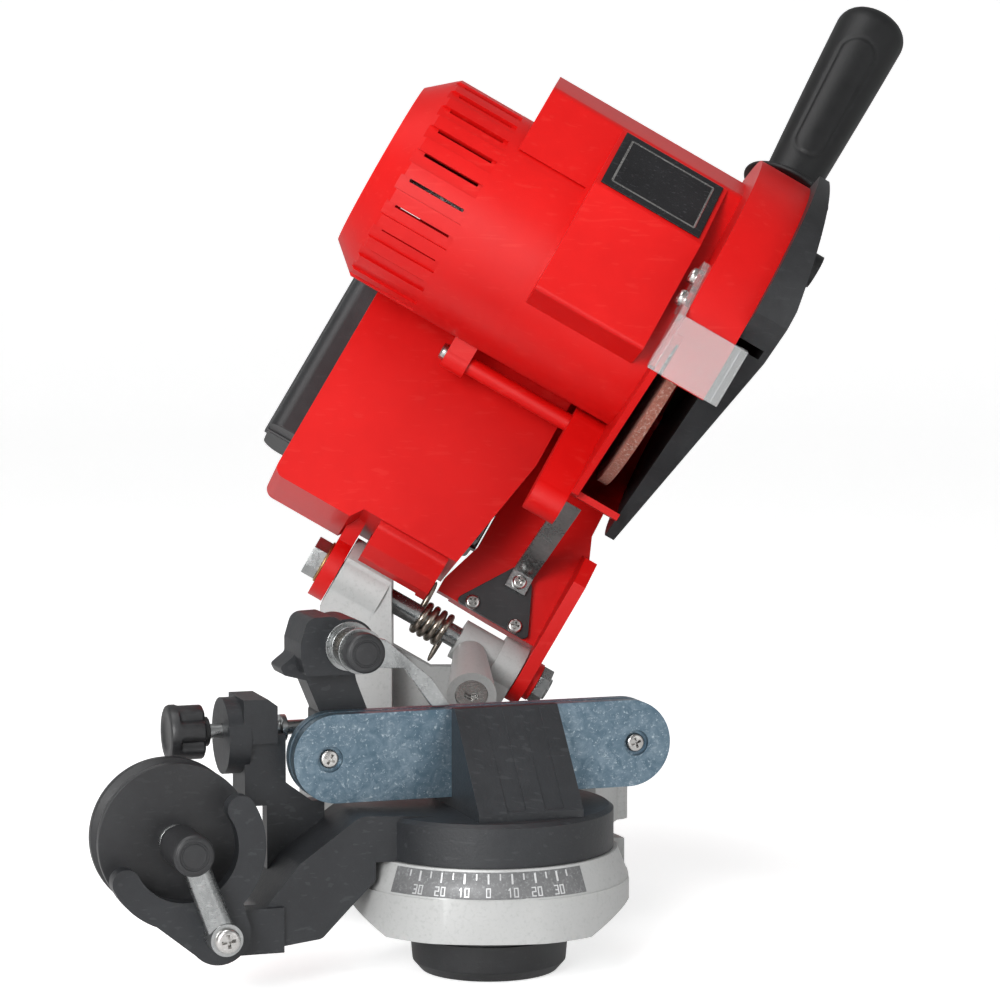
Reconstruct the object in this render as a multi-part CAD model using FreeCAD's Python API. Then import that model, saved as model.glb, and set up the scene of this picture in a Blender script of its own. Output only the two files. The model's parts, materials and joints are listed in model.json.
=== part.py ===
import FreeCAD, Part
import math
import os

# Electric chain grinder for saw chain: a cast base on the bench edge, a swivelling chain vise
# with chain stop and chain roller, and a motor head on a tilted hinge. Millimetres, +Z up.
# Origin: middle of the four bench bolts, on the underside of the base.

Vector = FreeCAD.Vector

# ---- fits ----
fit = 0.05            # radial clearance of a shaft or screw in its hole
slack = 0.3           # clearance between pieces that pass each other
wall = 3.0            # moulded wall

# ---- base casting ----
baseWidth = 143.0
baseDepth = 110.0
baseHeight = 24.0
baseWall = 8.0
boltSpacingX = 117.0
boltSpacingY = 86.0
boltHoleRadius = 4.5
swivelX = 11.5
swivelY = -135.0
noseRadius = 58.0
noseDrop = 24.7       # how far the nose hangs below the bench top
noseRise = 4.5
noseFlat = 42.0       # half width of the front facet
scaleLow = -7.0
scaleRadius = 52.5
benchEdge = 52.0      # bench edge behind the swivel axis
neckLeft = 36.0
neckRight = 45.0

# ---- hinge of the head ----
hingeX = -13.5
hingeY = 10.0
hingeZ = 77.0
headTilt = 30.0       # slope of the hinge axis, down to the right
headLean = 20.0       # how far the raised head leans back
axleRadius = 5.0
leftEar = (-49.5, -27.0)
leftEarRadius = 17.0
rightEar = (31.0, 43.0)
rightEarRadius = 12.0
hubStart = 12.0
hubRadius = 9.5
postLeft = -64.5
postRight = -32.5
postHalf = 15.0
supportLeft = -2.5
webLow = -18.0        # top of the web below the hinge axis
webThickness = 8.0
bossRadius = 11.0
bossReach = 38.0
bossDrop = 12.4
setScrewRadius = 7.3

# ---- return spring ----
springWire = 1.6
springRadius = 7.0
springTurns = 4
springPitch = 3.6
springStart = -8.6
springLegUp = 17.9
coilSteps = 16         # straight lengths in one turn of a coil

# ---- chain vise, in its own frame on the swivel axis ----
viseYaw = 18.5
tableRadius = 51.0
tableLow = noseRise + slack
tableHigh = 22.0
studRadius = 6.0
knobRadius = 33.0
knobHeight = 21.0
railLength = 161.0
railHeight = 36.0
railLow = 26.5
railTop = railLow + railHeight
railMiddle = railLow + railHeight / 2
railThick = 5.0
railShift = -3.5      # middle of the rails along their length
slotWidth = 2.4
clampTravel = 1.0
clampX = 4.0
pinRadius = 2.5
screwInset = 15.0
blockLeft = -18.0
blockRight = 26.0
blockReach = 42.0
bridgeThick = 10.0
clampRadius = 4.0
clampKnobRadius = 11.5
clampKnobLength = 16.0
armFront = -22.0
armBack = 14.0
armRadii = [0, 9, 12, 4]

# ---- chain stop ----
stopY = 18.0          # lead screw behind the rails
stopZ = 54.5
stopScrewEnd = -44.0
postFront = 6.5
benchTop = 25.0       # what swings over the base starts at this height
leadRadius = 3.0
thumbRadius = 11.5
thumbLength = 20.0
pawlX = -60.0
pawlZ = 89.5
pawlThick = 3.0
pawlPin = 3.0

# ---- chain roller ----
rollerX = -134.0
rollerZ = 16.5
rollerRadius = 31.0
rollerWidth = 19.0
rollerMiddle = -4.0
rollerPin = 5.0
bracketX = -121.0
bracketZ = -17.5
screwRadius = 3.0
lugRadius = 11.0
lugFront = -24.0
lugBack = -14.5
forkThick = 7.0
forkInner = 21.0
forkOuter = 32.0
capFront = -45.5

# ---- head, in its own frame: x along the hinge axis, then forward and up beside it ----
boxLeft = -97.0
boxFront = 41.0       # front face of the lower housing, which the motor lies against
boxBack = -2.0
boxLow = 20.0
boxFoot = 14.0        # the floor is lower to the left of the hinge lug
boxHigh = 185.0
motorUp = 146.0
motorRadius = 49.0
motorForward = boxFront + motorRadius
motorEnd = -122.6
motorNose = 38.0
motorChamfer = 12.6
motorSeam = -41.0
motorRight = 20.0
overLeft = -74.0      # the top of the block reaches over the end cap
blockSlope = 14.3     # the block's front face leans back from the motor's side
blockShoulder = (126.0, 203.0)
panelLeft = -39.0
panelRight = 13.0
panelLow = 112.0
panelFront = 148.0
panelKnee = 166.0
panelTop = (126.5, 202.2)
ventCount = 24
ventWidth = 6.5
ventDepth = 1.3
ventSlit = 1.5
ventStart = motorEnd + motorChamfer - 3
ventEnd = -79.0
tieForward = 62.0
tieUp = 95.0
shaftRadius = 6.0
tailRadius = 4.0
statorInner = 30.0
rotorRadius = 29.0
fanRadius = 40.0
wheelX = 30.0
wheelRadius = 72.5
wheelThick = 4.8
arborRadius = 11.1    # 22.2 mm arbor
flangeRadius = 22.0
guardRadius = 84.0
guardLeft = 20.0
guardRight = 44.0
visorRight = 50.0
coverInner = 46.0     # inside the cover past the end of the motor shaft
contactAngle = 57.5   # direction of the chain below the forward line
openStart = 32.0
openEnd = 100.0
wallChord = 66.0
coverChord = 55.0
coverRadius = 92.0
coverFace = 59.0
coverTop = 223.5
coverShoulder = 148.0  # above this height the cover's face leans inward
coverSlope = 0.135
lidThick = 3.0
lugLeft = (-57.0, -50.0)
lugRight = (43.5, 49.5)
hubEnd = 52.5         # right end of the hub on the right lug
bushRadius = 7.5
packLeft = -110.0
packRight = -1.0
packLow = 46.0
packHigh = 136.0
packBack = -50.0
latchX = -104.0
cellRadius = 9.0
cellLength = 65.0
gripX = 39.0
gripForward = 78.0
gripBase = 230.0
gripLength = 104.0
gripCollar = 4.2      # round collar of the guard under the grip
gripLean = 4.0
gripNeck = 12.5
gripEnd = 16.5
gripFlange = 20.5
coreRadius = 5.0


# ---- helpers ----
def box(x0, x1, y0, y1, z0, z1):
    return Part.makeBox(x1 - x0, y1 - y0, z1 - z0, Vector(x0, y0, z0))


def rod(radius, start, end):
    start = Vector(*start)
    span = Vector(*end) - start
    return Part.makeCylinder(radius, span.Length, start, span)


def cone(radius0, radius1, start, end):
    start = Vector(*start)
    span = Vector(*end) - start
    return Part.makeCone(radius0, radius1, span.Length, start, span)


def ring(outer, inner, start, end):
    return rod(outer, start, end).cut(rod(inner, start, end))


def hexPrism(acrossFlats, start, end):
    start = Vector(*start)
    span = Vector(*end) - start
    side = span.cross(Vector(0.3, 0.5, 0.8))
    side.normalize()
    corner = acrossFlats / math.sqrt(3)
    turn = FreeCAD.Rotation(span, 60)
    points = []
    for _ in range(6):
        points.append(start + side * corner)
        side = turn.multVec(side)
    points.append(points[0])
    return Part.Face(Part.makePolygon(points)).extrude(span)


def roundedWire(points, radii):
    """Closed wire through the points with each corner rounded by its radius."""
    count = len(points)
    if not isinstance(radii, (list, tuple)):
        radii = [radii] * count
    edges = []
    ends = []
    for i in range(count):
        here = points[i]
        back = (points[i - 1] - here).normalize()
        ahead = (points[(i + 1) % count] - here).normalize()
        if radii[i] == 0:
            ends.append((here, here))
            continue
        half = back.getAngle(ahead) / 2
        reach = radii[i] / math.tan(half)
        middle = (back + ahead).normalize()
        centre = here + middle * (radii[i] / math.sin(half))
        first = here + back * reach
        last = here + ahead * reach
        edges.append(Part.Arc(first, centre - middle * radii[i], last).toShape())
        ends.append((first, last))
    for i in range(count):
        start = ends[i][1]
        end = ends[(i + 1) % count][0]
        if start.distanceToPoint(end) > 1e-6:
            edges.append(Part.makeLine(start, end))
    return Part.Wire(Part.__sortEdges__(edges))


def prism(points, axis, low, high, radii=0):
    """Outline extruded along an axis: x takes (y, z) points, y takes (x, z), z takes (x, y)."""
    if axis == "x":
        corners = [Vector(low, p, q) for p, q in points]
        span = Vector(high - low, 0, 0)
    elif axis == "y":
        corners = [Vector(p, low, q) for p, q in points]
        span = Vector(0, high - low, 0)
    else:
        corners = [Vector(p, q, low) for p, q in points]
        span = Vector(0, 0, high - low)
    return Part.Face(roundedWire(corners, radii)).extrude(span)


def side(points, x0, x1, radii=0):
    """Side outline of the head, given as (forward, up), extruded from x0 to x1."""
    return prism([(-forward, up) for forward, up in points], "x", x0, x1, radii)


def headRod(radius, x0, x1, forward, up):
    return rod(radius, (x0, -forward, up), (x1, -forward, up))


def headRing(outer, inner, x0, x1, forward, up):
    return headRod(outer, x0, x1, forward, up).cut(headRod(inner, x0 - 1, x1 + 1, forward, up))


def fuse(*shapes):
    result = shapes[0].multiFuse(list(shapes[1:]))
    return result.removeSplitter()


def group(shapes):
    return Part.makeCompound(shapes)


def screw(point, direction, headRadius, headHeight, shankRadius, length):
    """Pan head screw: the head stands out of the point, the shank runs along the direction."""
    point = Vector(*point)
    direction = Vector(*direction).normalize()
    head = Part.makeCylinder(headRadius, headHeight, point - direction * headHeight, direction)
    shank = Part.makeCylinder(shankRadius, length, point, direction)
    return head.fuse(shank).removeSplitter()


def hingePoint(along, up):
    """A point of the hinge plane as (x, z) of the base."""
    tilt = math.radians(headTilt)
    x = hingeX + along * math.cos(tilt) + up * math.sin(tilt)
    z = hingeZ - along * math.sin(tilt) + up * math.cos(tilt)
    return (x, z)


def hingeFrame(lean):
    """Placement of the hinge frame: x along the axle, z up, leaning back by the given angle."""
    tilt = math.radians(headTilt)
    back = math.radians(lean)
    along = Vector(math.cos(tilt), 0, -math.sin(tilt))
    up = Vector(math.sin(tilt), 0, math.cos(tilt))
    away = Vector(0, 1, 0)
    leanUp = up * math.cos(back) + away * math.sin(back)
    leanAway = away * math.cos(back) - up * math.sin(back)
    turn = FreeCAD.Rotation(along, leanAway, leanUp, "XYZ")
    return FreeCAD.Placement(Vector(hingeX, hingeY, hingeZ), turn)


def placed(shape, placement):
    result = shape.copy()
    result.Placement = placement.multiply(result.Placement)
    return result


def onHinge(shape):
    return placed(shape, hingeFrame(0))


def onHead(shape):
    return placed(shape, hingeFrame(headLean))


def onVise(shape):
    turn = FreeCAD.Rotation(Vector(0, 0, 1), viseYaw)
    return placed(shape, FreeCAD.Placement(Vector(swivelX, swivelY, 0), turn))


# ---- base ----
def noseShape():
    """Round nose with a facetted front, a bevelled scale band and raised lower corners."""
    span = noseRise + noseDrop
    edge = Part.Arc(Vector(-noseFlat, -47, 0), Vector(0, -noseRadius + 2, 0),
                    Vector(noseFlat, -47, 0)).toShape()
    edges = [edge]
    points = [(noseFlat, -47), (57, -24), (57, 20), (38, 52), (-38, 52), (-57, 20), (-57, -24),
              (-noseFlat, -47)]
    for (x0, y0), (x1, y1) in zip(points, points[1:]):
        edges.append(Part.makeLine(Vector(x0, y0, 0), Vector(x1, y1, 0)))
    body = Part.Face(Part.Wire(edges)).extrude(Vector(0, 0, span))
    body = body.common(rod(noseRadius, (0, 0, 0), (0, 0, span)))
    neck = box(-neckLeft, neckRight, 20, benchEdge, 0, span)
    body = body.fuse(neck)
    body.translate(Vector(0, 0, -noseDrop))
    band = [(scaleRadius, 0, noseRise), (noseRadius + 12, 0, noseRise),
            (noseRadius + 12, 0, scaleLow), (noseRadius - 0.8, 0, scaleLow), (scaleRadius, 0, noseRise)]
    cutter = Part.Face(Part.makePolygon([Vector(*p) for p in band]))
    cutter = cutter.revolve(Vector(0, 0, 0), Vector(0, 0, 1), 360)
    body = body.cut(cutter.common(box(-90, 90, -90, 15, -10, 10)))
    for hand in (-1, 1):
        wedge = [(hand * 41, -noseDrop - 1), (hand * 75, -noseDrop - 1), (hand * 75, -noseDrop + 20),
                 (hand * 41, -noseDrop)]
        body = body.cut(prism(wedge, "y", -70, 48))
    body.translate(Vector(swivelX, swivelY, 0))
    return body


def baseCasting():
    half = baseWidth / 2
    deep = baseDepth / 2
    plan = [(-half, -deep), (half, -deep), (half, deep), (-half, deep)]
    slab = prism(plan, "z", 0, baseHeight, 7)
    front = swivelY + 46
    neck = prism([(swivelX - neckLeft, front), (swivelX + neckRight, front), (half - 2, -deep + 9),
                  (-half + 2, -deep + 9)], "z", 0, baseHeight)
    turntableRoom = rod(tableRadius + 1.2, (swivelX, swivelY, noseRise), (swivelX, swivelY, 40))
    body = fuse(noseShape(), neck, slab).cut(turntableRoom)
    inner = baseHeight - baseWall
    for x0, x1 in ((-half + baseWall, -4), (4, half - baseWall)):
        plan = [(x0, -deep + 8), (x1, -deep + 8), (x1, deep - baseWall), (x0, deep - baseWall)]
        body = body.cut(prism(plan, "z", -1, inner, 6))
    bolts = []
    for x in (-boltSpacingX / 2, boltSpacingX / 2):
        for y in (-boltSpacingY / 2, boltSpacingY / 2):
            bolts.append((x, y))
    body = fuse(body, *[rod(10, (x, y, 0), (x, y, baseHeight)) for x, y in bolts])
    for x, y in bolts:
        body = body.cut(rod(boltHoleRadius, (x, y, -1), (x, y, baseHeight + 1)))
    body = fuse(body, hingePosts())
    axleHole = onHinge(rod(axleRadius + fit, (-70, 0, 0), (70, 0, 0)))
    studHole = rod(studRadius + fit, (swivelX, swivelY, -40), (swivelX, swivelY, 20))
    return body.cut(axleHole).cut(studHole).cut(setScrewSeat())


def hingePosts():
    low = baseHeight - 4
    front = hingeY - postHalf
    back = hingeY + postHalf
    shoulder = 8.8
    leftSide = [(postLeft, low), (postRight, low), (postRight, hingePoint(leftEar[1], shoulder)[1]),
                hingePoint(leftEar[0], shoulder), (postLeft, hingePoint(leftEar[0], -16.2)[1])]
    left = prism(leftSide, "y", front, back)
    left = left.fuse(onHinge(rod(leftEarRadius, (leftEar[0], 0, 0), (leftEar[1], 0, 0))))
    foot = hingePoint(rightEar[1], -14.5)
    rightSide = [(supportLeft, low), (foot[0], low), foot, hingePoint(rightEar[1], 0),
                 hingePoint(hubStart + 1, 0), (supportLeft, 60)]
    right = prism(rightSide, "y", hingeY - hubRadius, back)
    right = right.fuse(onHinge(rod(rightEarRadius, (rightEar[0], 0, 0), (rightEar[1], 0, 0))))
    right = right.fuse(onHinge(rod(hubRadius, (hubStart, 0, 0), (rightEar[0] + 1, 0, 0))))
    webTop = [hingePoint(8, webLow), hingePoint(-20, webLow)]
    web = prism([(postLeft + 4, low), (foot[0], low), (foot[0], webTop[0][1]), webTop[0], webTop[1],
                 (postLeft + 4, webTop[1][1])], "y", hingeY + springRadius - 2,
                hingeY + springRadius - 2 + webThickness)
    start, end = bossLine()
    boss = cone(7.5, bossRadius, start, end)
    rib = prism([(start[1] + 6, low), (end[1] + 6, low), (end[1] + 3, end[2] - 5),
                 (start[1] + 6, start[2] - 3)], "x", end[0] - 4, end[0] + 4)
    return fuse(left, right, web, boss, rib)


def bossLine():
    """Axis of the boss that points forward from the hub, as its two end points."""
    x, z = hingePoint(20, -3)
    return (x, hingeY - 10, z), (x + 1.2, hingeY - 10 - bossReach, z - bossDrop)


def bossPoint(depth):
    """A point on the boss axis, that far behind the boss's front end."""
    start, end = (Vector(*p) for p in bossLine())
    return end + (start - end).normalize() * depth


def setScrewSeat():
    seat = rod(setScrewRadius + fit, bossPoint(-1), bossPoint(6))
    return seat.fuse(rod(4 + fit, bossPoint(0), bossPoint(24)))


def axleSetScrew():
    head = rod(setScrewRadius, bossPoint(1.5), bossPoint(6))
    shank = rod(4, bossPoint(6), bossPoint(24))
    socket = hexPrism(6, bossPoint(-1), bossPoint(4.5))
    return head.fuse(shank).cut(socket)


def hingeAxle():
    shaft = rod(axleRadius, (-60, 0, 0), (hubEnd + 6.5, 0, 0))
    head = hexPrism(16, (-64.5, 0, 0), (-58, 0, 0))
    return onHinge(fuse(shaft, head))


def axleNut():
    nut = hexPrism(15, (hubEnd + 0.2, 0, 0), (hubEnd + 5.2, 0, 0))
    return onHinge(nut.cut(rod(axleRadius + fit, (50, 0, 0), (65, 0, 0))))


def wireSection(centre, ahead, wire):
    """Eight-sided section of a spring wire, square to the way ahead."""
    across = Vector(0, 0, 1) - ahead * ahead.z
    if across.Length < 0.2:
        across = Vector(1, 0, 0) - ahead * ahead.x
    across.normalize()
    up = ahead.cross(across)
    corners = []
    for i in range(8):
        angle = math.pi * (i + 0.5) / 4
        corners.append(centre + across * (wire * math.cos(angle)) + up * (wire * math.sin(angle)))
    return Part.makePolygon(corners + corners[:1])


def coil(radius, wire, pitch, turns, hand, before=(), after=()):
    """Wire along a helix about Z that starts on +X, with points of its legs before and after."""
    points = [Vector(*p) for p in before]
    steps = turns * coilSteps
    for i in range(steps + 1):
        angle = hand * 2 * math.pi * i / coilSteps
        points.append(Vector(radius * math.cos(angle), radius * math.sin(angle), pitch * i / coilSteps))
    points.extend(Vector(*p) for p in after)
    sections = []
    for i, point in enumerate(points):
        ahead = (points[min(i + 1, len(points) - 1)] - points[max(i - 1, 0)]).normalize()
        sections.append(wireSection(point, ahead, wire))
    return Part.makeLoft(sections, True, True)


def returnSpring():
    """Torsion spring on the axle: one leg up to the head, one leg down to the base web."""
    length = springPitch * springTurns
    upper = [(springRadius, up, 0) for up in (springLegUp, 4)]
    lower = [(springRadius, down, length) for down in (-4, webLow + 0.1)]
    body = coil(springRadius, springWire, springPitch, springTurns, -1, upper, lower)
    turn = FreeCAD.Rotation(Vector(0, 1, 0), Vector(0, 0, 1), Vector(1, 0, 0), "XYZ")
    return onHinge(placed(body, FreeCAD.Placement(Vector(springStart, 0, 0), turn)))


def lockKnob():
    top = -noseDrop - slack
    low = top - knobHeight
    body = cone(knobRadius - 1.5, knobRadius, (0, 0, low + 4), (0, 0, top))
    body = body.fuse(cone(knobRadius - 5, knobRadius - 1.5, (0, 0, low), (0, 0, low + 4)))
    groove = ring(knobRadius + 3, knobRadius - 1.2, (0, 0, top - 6), (0, 0, top - 5))
    body = body.cut(groove).cut(rod(studRadius + fit, (0, 0, low + 6), (0, 0, top + 1)))
    return placed(body, FreeCAD.Placement(Vector(swivelX, swivelY, 0), FreeCAD.Rotation()))


def swivelStud():
    shank = rod(studRadius, (0, 0, -noseDrop - slack - 12), (0, 0, 14))
    head = hexPrism(18, (0, 0, 14), (0, 0, 21.5))
    return onVise(shank.fuse(head))


# ---- chain vise ----
def armTop():
    """Top outline of the arm that reaches down to the chain roller, as (x, z)."""
    return [(-30, tableHigh), (-61, 23.7), (-86, 6), (-101, -11.6)]


def viseTurntable():
    disc = rod(tableRadius, (0, 0, tableLow), (0, 0, tableHigh - 1.5))
    disc = disc.fuse(cone(tableRadius, tableRadius - 2, (0, 0, tableHigh - 1.5), (0, 0, tableHigh)))
    arm = prism(armTop() + [(-101, -27.4), (-77, -24.5), (-65, -12.4), (-47, tableLow), (-30, tableLow)], "y",
                armFront, armBack, armRadii + [3, 4, 6, 5, 0])
    arm = arm.cut(rod(noseRadius + 1, (0, 0, -40), (0, 0, tableLow)))
    lug = rod(lugRadius, (bracketX, lugFront, bracketZ), (bracketX, lugBack, bracketZ))
    bridge = box(bracketX, -93, lugFront, lugBack, bracketZ - lugRadius, bracketZ + 7)
    body = fuse(disc, arm, lug, bridge)
    seat = hexPrism(18.2, (0, 0, 14), (0, 0, 30))
    hole = rod(studRadius + fit, (0, 0, -5), (0, 0, 16))
    pivot = rod(screwRadius, (bracketX, lugFront - 1, bracketZ), (bracketX, lugBack + 1, bracketZ))
    return onVise(body.cut(seat).cut(hole).cut(pivot))


def viseBlock():
    """Block that holds the rails: ribbed wedge in front, upright with the clamp screw behind."""
    front = -slotWidth / 2 - railThick
    back = 10.0
    outline = [(front, railLow - slack), (front, railTop + 0.6), (front - 4, railTop + 0.6),
               (-blockReach, 25), (-blockReach, tableHigh), (back + bridgeThick, tableHigh),
               (back + bridgeThick, 56), (back, 56), (back, railLow - slack)]
    body = prism(outline, "x", blockLeft, blockRight)
    for x in (blockLeft + 13, blockRight - 15):
        outer = prism([(front - 4.5, railTop + 3), (-blockReach - 1.2, 25.6), (-blockReach - 9, 25.6),
                       (front - 12, railTop + 3)], "x", x - 1, x + 7)
        outer.translate(Vector(0, 2.6, 0))
        body = body.cut(outer)
    hole = rod(clampRadius + fit, (clampX, back - 1, railMiddle), (clampX, back + 15, railMiddle))
    room = rod(10.5, (0, 0, tableHigh - 1), (0, 0, tableHigh + 1))
    return onVise(body.cut(hole).cut(room))


def rail(y0):
    half = railLength / 2
    low = railLow
    bar = prism([(railShift - half, low), (railShift + half, low), (railShift + half, railTop),
                 (railShift - half, railTop)], "y", y0, y0 + railThick, railHeight / 2 - 0.01)
    for hand in (-1, 1):
        x = railShift + hand * (half - screwInset)
        bar = bar.cut(rod(pinRadius + fit, (x, y0 - 1, railMiddle), (x, y0 + railThick + 1, railMiddle)))
    return bar


def frontRail():
    y0 = -slotWidth / 2 - railThick
    bar = rail(y0)
    for hand in (-1, 1):
        x = railShift + hand * (railLength / 2 - screwInset)
        bar = bar.cut(rod(5.3, (x, y0 - 1, railMiddle), (x, y0 + 2.2, railMiddle)))
    return onVise(bar)


def rearRail():
    return onVise(rail(slotWidth / 2))


def railScrews():
    """Two countersunk guide screws that carry the rear rail, each with a nut."""
    front = -slotWidth / 2 - railThick + 2.2
    back = slotWidth / 2 + railThick
    parts = []
    for hand in (-1, 1):
        x = railShift + hand * (railLength / 2 - screwInset)
        head = rod(5.0, (x, front - 1.9, railMiddle), (x, front, railMiddle))
        shank = rod(pinRadius, (x, front, railMiddle), (x, back + 4.5, railMiddle))
        cross = box(x - 2.6, x + 2.6, front - 3, front - 0.9, railMiddle - 0.5, railMiddle + 0.5)
        slot = box(x - 0.5, x + 0.5, front - 3, front - 0.9, railMiddle - 2.6, railMiddle + 2.6)
        tip = hexPrism(7, (x, back + 0.4, railMiddle), (x, back + 3.6, railMiddle))
        parts.append(head.fuse(shank).fuse(tip).cut(cross).cut(slot))
    return onVise(group(parts))


def clampScrew():
    back = slotWidth / 2 + railThick
    shank = rod(clampRadius, (clampX, back + 0.05, railMiddle), (clampX, 34, railMiddle))
    return onVise(shank)


def clampKnob():
    start = 10.0 + bridgeThick + clampTravel + 4
    body = rod(clampKnobRadius, (clampX, start, railMiddle), (clampX, start + clampKnobLength, railMiddle))
    for i in range(8):
        angle = 2 * math.pi * i / 8
        x = clampX + (clampKnobRadius + 1.2) * math.cos(angle)
        z = railMiddle + (clampKnobRadius + 1.2) * math.sin(angle)
        body = body.cut(rod(2.6, (x, start + 3, z), (x, start + clampKnobLength + 1, z)))
    hole = rod(clampRadius + fit, (clampX, start - 1, railMiddle), (clampX, 34.2, railMiddle))
    return onVise(body.cut(hole))


# ---- chain stop ----
def stopBracket():
    """Bracket on the vise arm: round plate, lug over the post, and a foot on the arm."""
    plate = rod(15.5, (-108, stopY, stopZ - 2), (-99, stopY, stopZ - 2))
    lug = prism([(-102, stopZ - 4), (-88, stopZ - 4), (-88, stopZ + 11), (-92, stopZ + 14),
                 (-102, stopZ + 14)], "y", postFront - 3, stopY + 11)
    post = prism([(-101, benchTop), (-72, benchTop), (-84, 34), (-84, stopZ - 1), (-101, stopZ - 1)], "y",
                 postFront, stopY + 9)
    foot = prism([(-92, -6), (-68, 10), (-68, benchTop + 1), (-92, benchTop + 1)], "y", postFront, armBack)
    body = fuse(plate, lug, post, foot)
    body = body.cut(rod(leadRadius + fit, (-120, stopY, stopZ), (-60, stopY, stopZ)))
    below = prism(armTop() + [(-140, -11.6), (-140, -60), (-30, -60)], "y", -60, 60, armRadii[:3] + [0, 0, 0, 0])
    return onVise(body.cut(below))


def stopThumbScrew():
    shank = rod(leadRadius, (-126, stopY, stopZ), (stopScrewEnd, stopY, stopZ))
    collar = rod(5.5, (-83.7, stopY, stopZ), (-81.2, stopY, stopZ))
    return onVise(shank.fuse(collar))


def stopThumbKnob():
    start = -130.5
    body = rod(thumbRadius, (start, stopY, stopZ), (start + thumbLength, stopY, stopZ))
    for i in range(5):
        angle = 2 * math.pi * (i + 0.35) / 5
        y = stopY + (thumbRadius + 1.6) * math.cos(angle)
        z = stopZ + (thumbRadius + 1.6) * math.sin(angle)
        body = body.cut(rod(4.2, (start + 5, y, z), (start + thumbLength + 1, y, z)))
    hole = rod(leadRadius + fit, (-126.2, stopY, stopZ), (start + thumbLength + 1, stopY, stopZ))
    return onVise(body.cut(hole))


def stopArm():
    """Carriage on the lead screw with the slanted arm and the head that holds the pawl pin."""
    back = stopY + 5
    front = slotWidth / 2 + railThick + 0.8
    foot = [(-70, stopZ - 5), (-49, stopZ - 5), (-49, stopZ + 8), (-70, stopZ + 8)]
    foot = prism(foot, "y", front, back + 1, 2)
    outline = [(-68.6, stopZ), (-48.8, stopZ), (-48.8, 59.7), (-54.2, 73.9), (-56.3, 84.2),
               (-59.6, 97.8), (-66.7, 101.7), (-77.1, 101.3), (-80.1, 91.3), (-80.1, 85.2),
               (-86, 80.6), (-84.3, 77.3), (-75.2, 74.9), (-68.6, 59.1)]
    radii = [0, 0, 0, 0, 0, 3, 3, 5, 3, 2, 1.5, 1.5, 0, 0]
    arm = prism(outline, "y", front, back, radii)
    head = prism([(-55.2, 78), (-56.3, 84.2), (-59.6, 97.8), (-66.7, 101.7), (-77.1, 101.3),
                  (-80.1, 91.3), (-80.1, 85.2), (-78, 78)], "y", -3, back, [2, 0, 3, 3, 5, 3, 2, 2])
    boss = rod(11, (pawlX, -3, pawlZ), (pawlX, back, pawlZ))
    body = fuse(foot, arm, head, boss)
    body = body.cut(rod(leadRadius + fit, (-80, stopY, stopZ), (-40, stopY, stopZ)))
    return onVise(body.cut(rod(pawlPin + fit, (pawlX, -10, pawlZ), (pawlX, 30, pawlZ))))


def pawlBolt():
    front = -24.0
    shank = rod(pawlPin, (pawlX, front, pawlZ), (pawlX, stopY + 9, pawlZ))
    inner = ring(10, pawlPin, (pawlX, -4.3, pawlZ), (pawlX, -3, pawlZ))
    outer = ring(9.2, pawlPin, (pawlX, -20, pawlZ), (pawlX, -18.6, pawlZ))
    nut = hexPrism(10, (pawlX, stopY + 5, pawlZ), (pawlX, stopY + 8.5, pawlZ))
    return onVise(fuse(shank, inner, outer, nut))


def pawlCap():
    body = rod(8.0, (pawlX, -27, pawlZ), (pawlX, -20, pawlZ))
    body = body.fuse(cone(7.0, 8.0, (pawlX, -28, pawlZ), (pawlX, -27, pawlZ)))
    return onVise(body.cut(rod(pawlPin + fit, (pawlX, -24.2, pawlZ), (pawlX, -19, pawlZ))))


def pawlSpring():
    wire = 0.6
    body = coil(4.6, wire, 1.95, 5, 1)
    turn = FreeCAD.Rotation(Vector(1, 0, 0), Vector(0, 0, 1), Vector(0, -1, 0), "XYZ")
    low = -4.3 - pawlThick - wire - 0.05
    return onVise(placed(body, FreeCAD.Placement(Vector(pawlX, low, pawlZ), turn)))


def stopPawl():
    """Bent steel finger: its hub turns on the bolt and its tip hangs over the slot."""
    hub = rod(8.5, (pawlX, -12, pawlZ), (pawlX, 6, pawlZ))
    outline = [(pawlX, pawlZ + 6), (-46, pawlZ + 2.5), (-34.9, 83.2), (-24.8, 74.6), (-17.1, railTop + 0.7),
               (-24.8, railTop + 0.7), (-36.6, 79.5), (-45, 80.5), (pawlX, pawlZ - 8)]
    finger = prism(outline, "y", -12, 6)
    plan = [(-72, -4.35 - pawlThick), (-44, -4.35 - pawlThick), (-33, -pawlThick / 2),
            (-10, -pawlThick / 2), (-10, pawlThick / 2), (-34, pawlThick / 2), (-45, -4.35), (-72, -4.35)]
    body = fuse(hub, finger).common(prism(plan, "z", 50, 110))
    return onVise(body.cut(rod(pawlPin + fit, (pawlX, -20, pawlZ), (pawlX, 20, pawlZ))))


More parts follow.
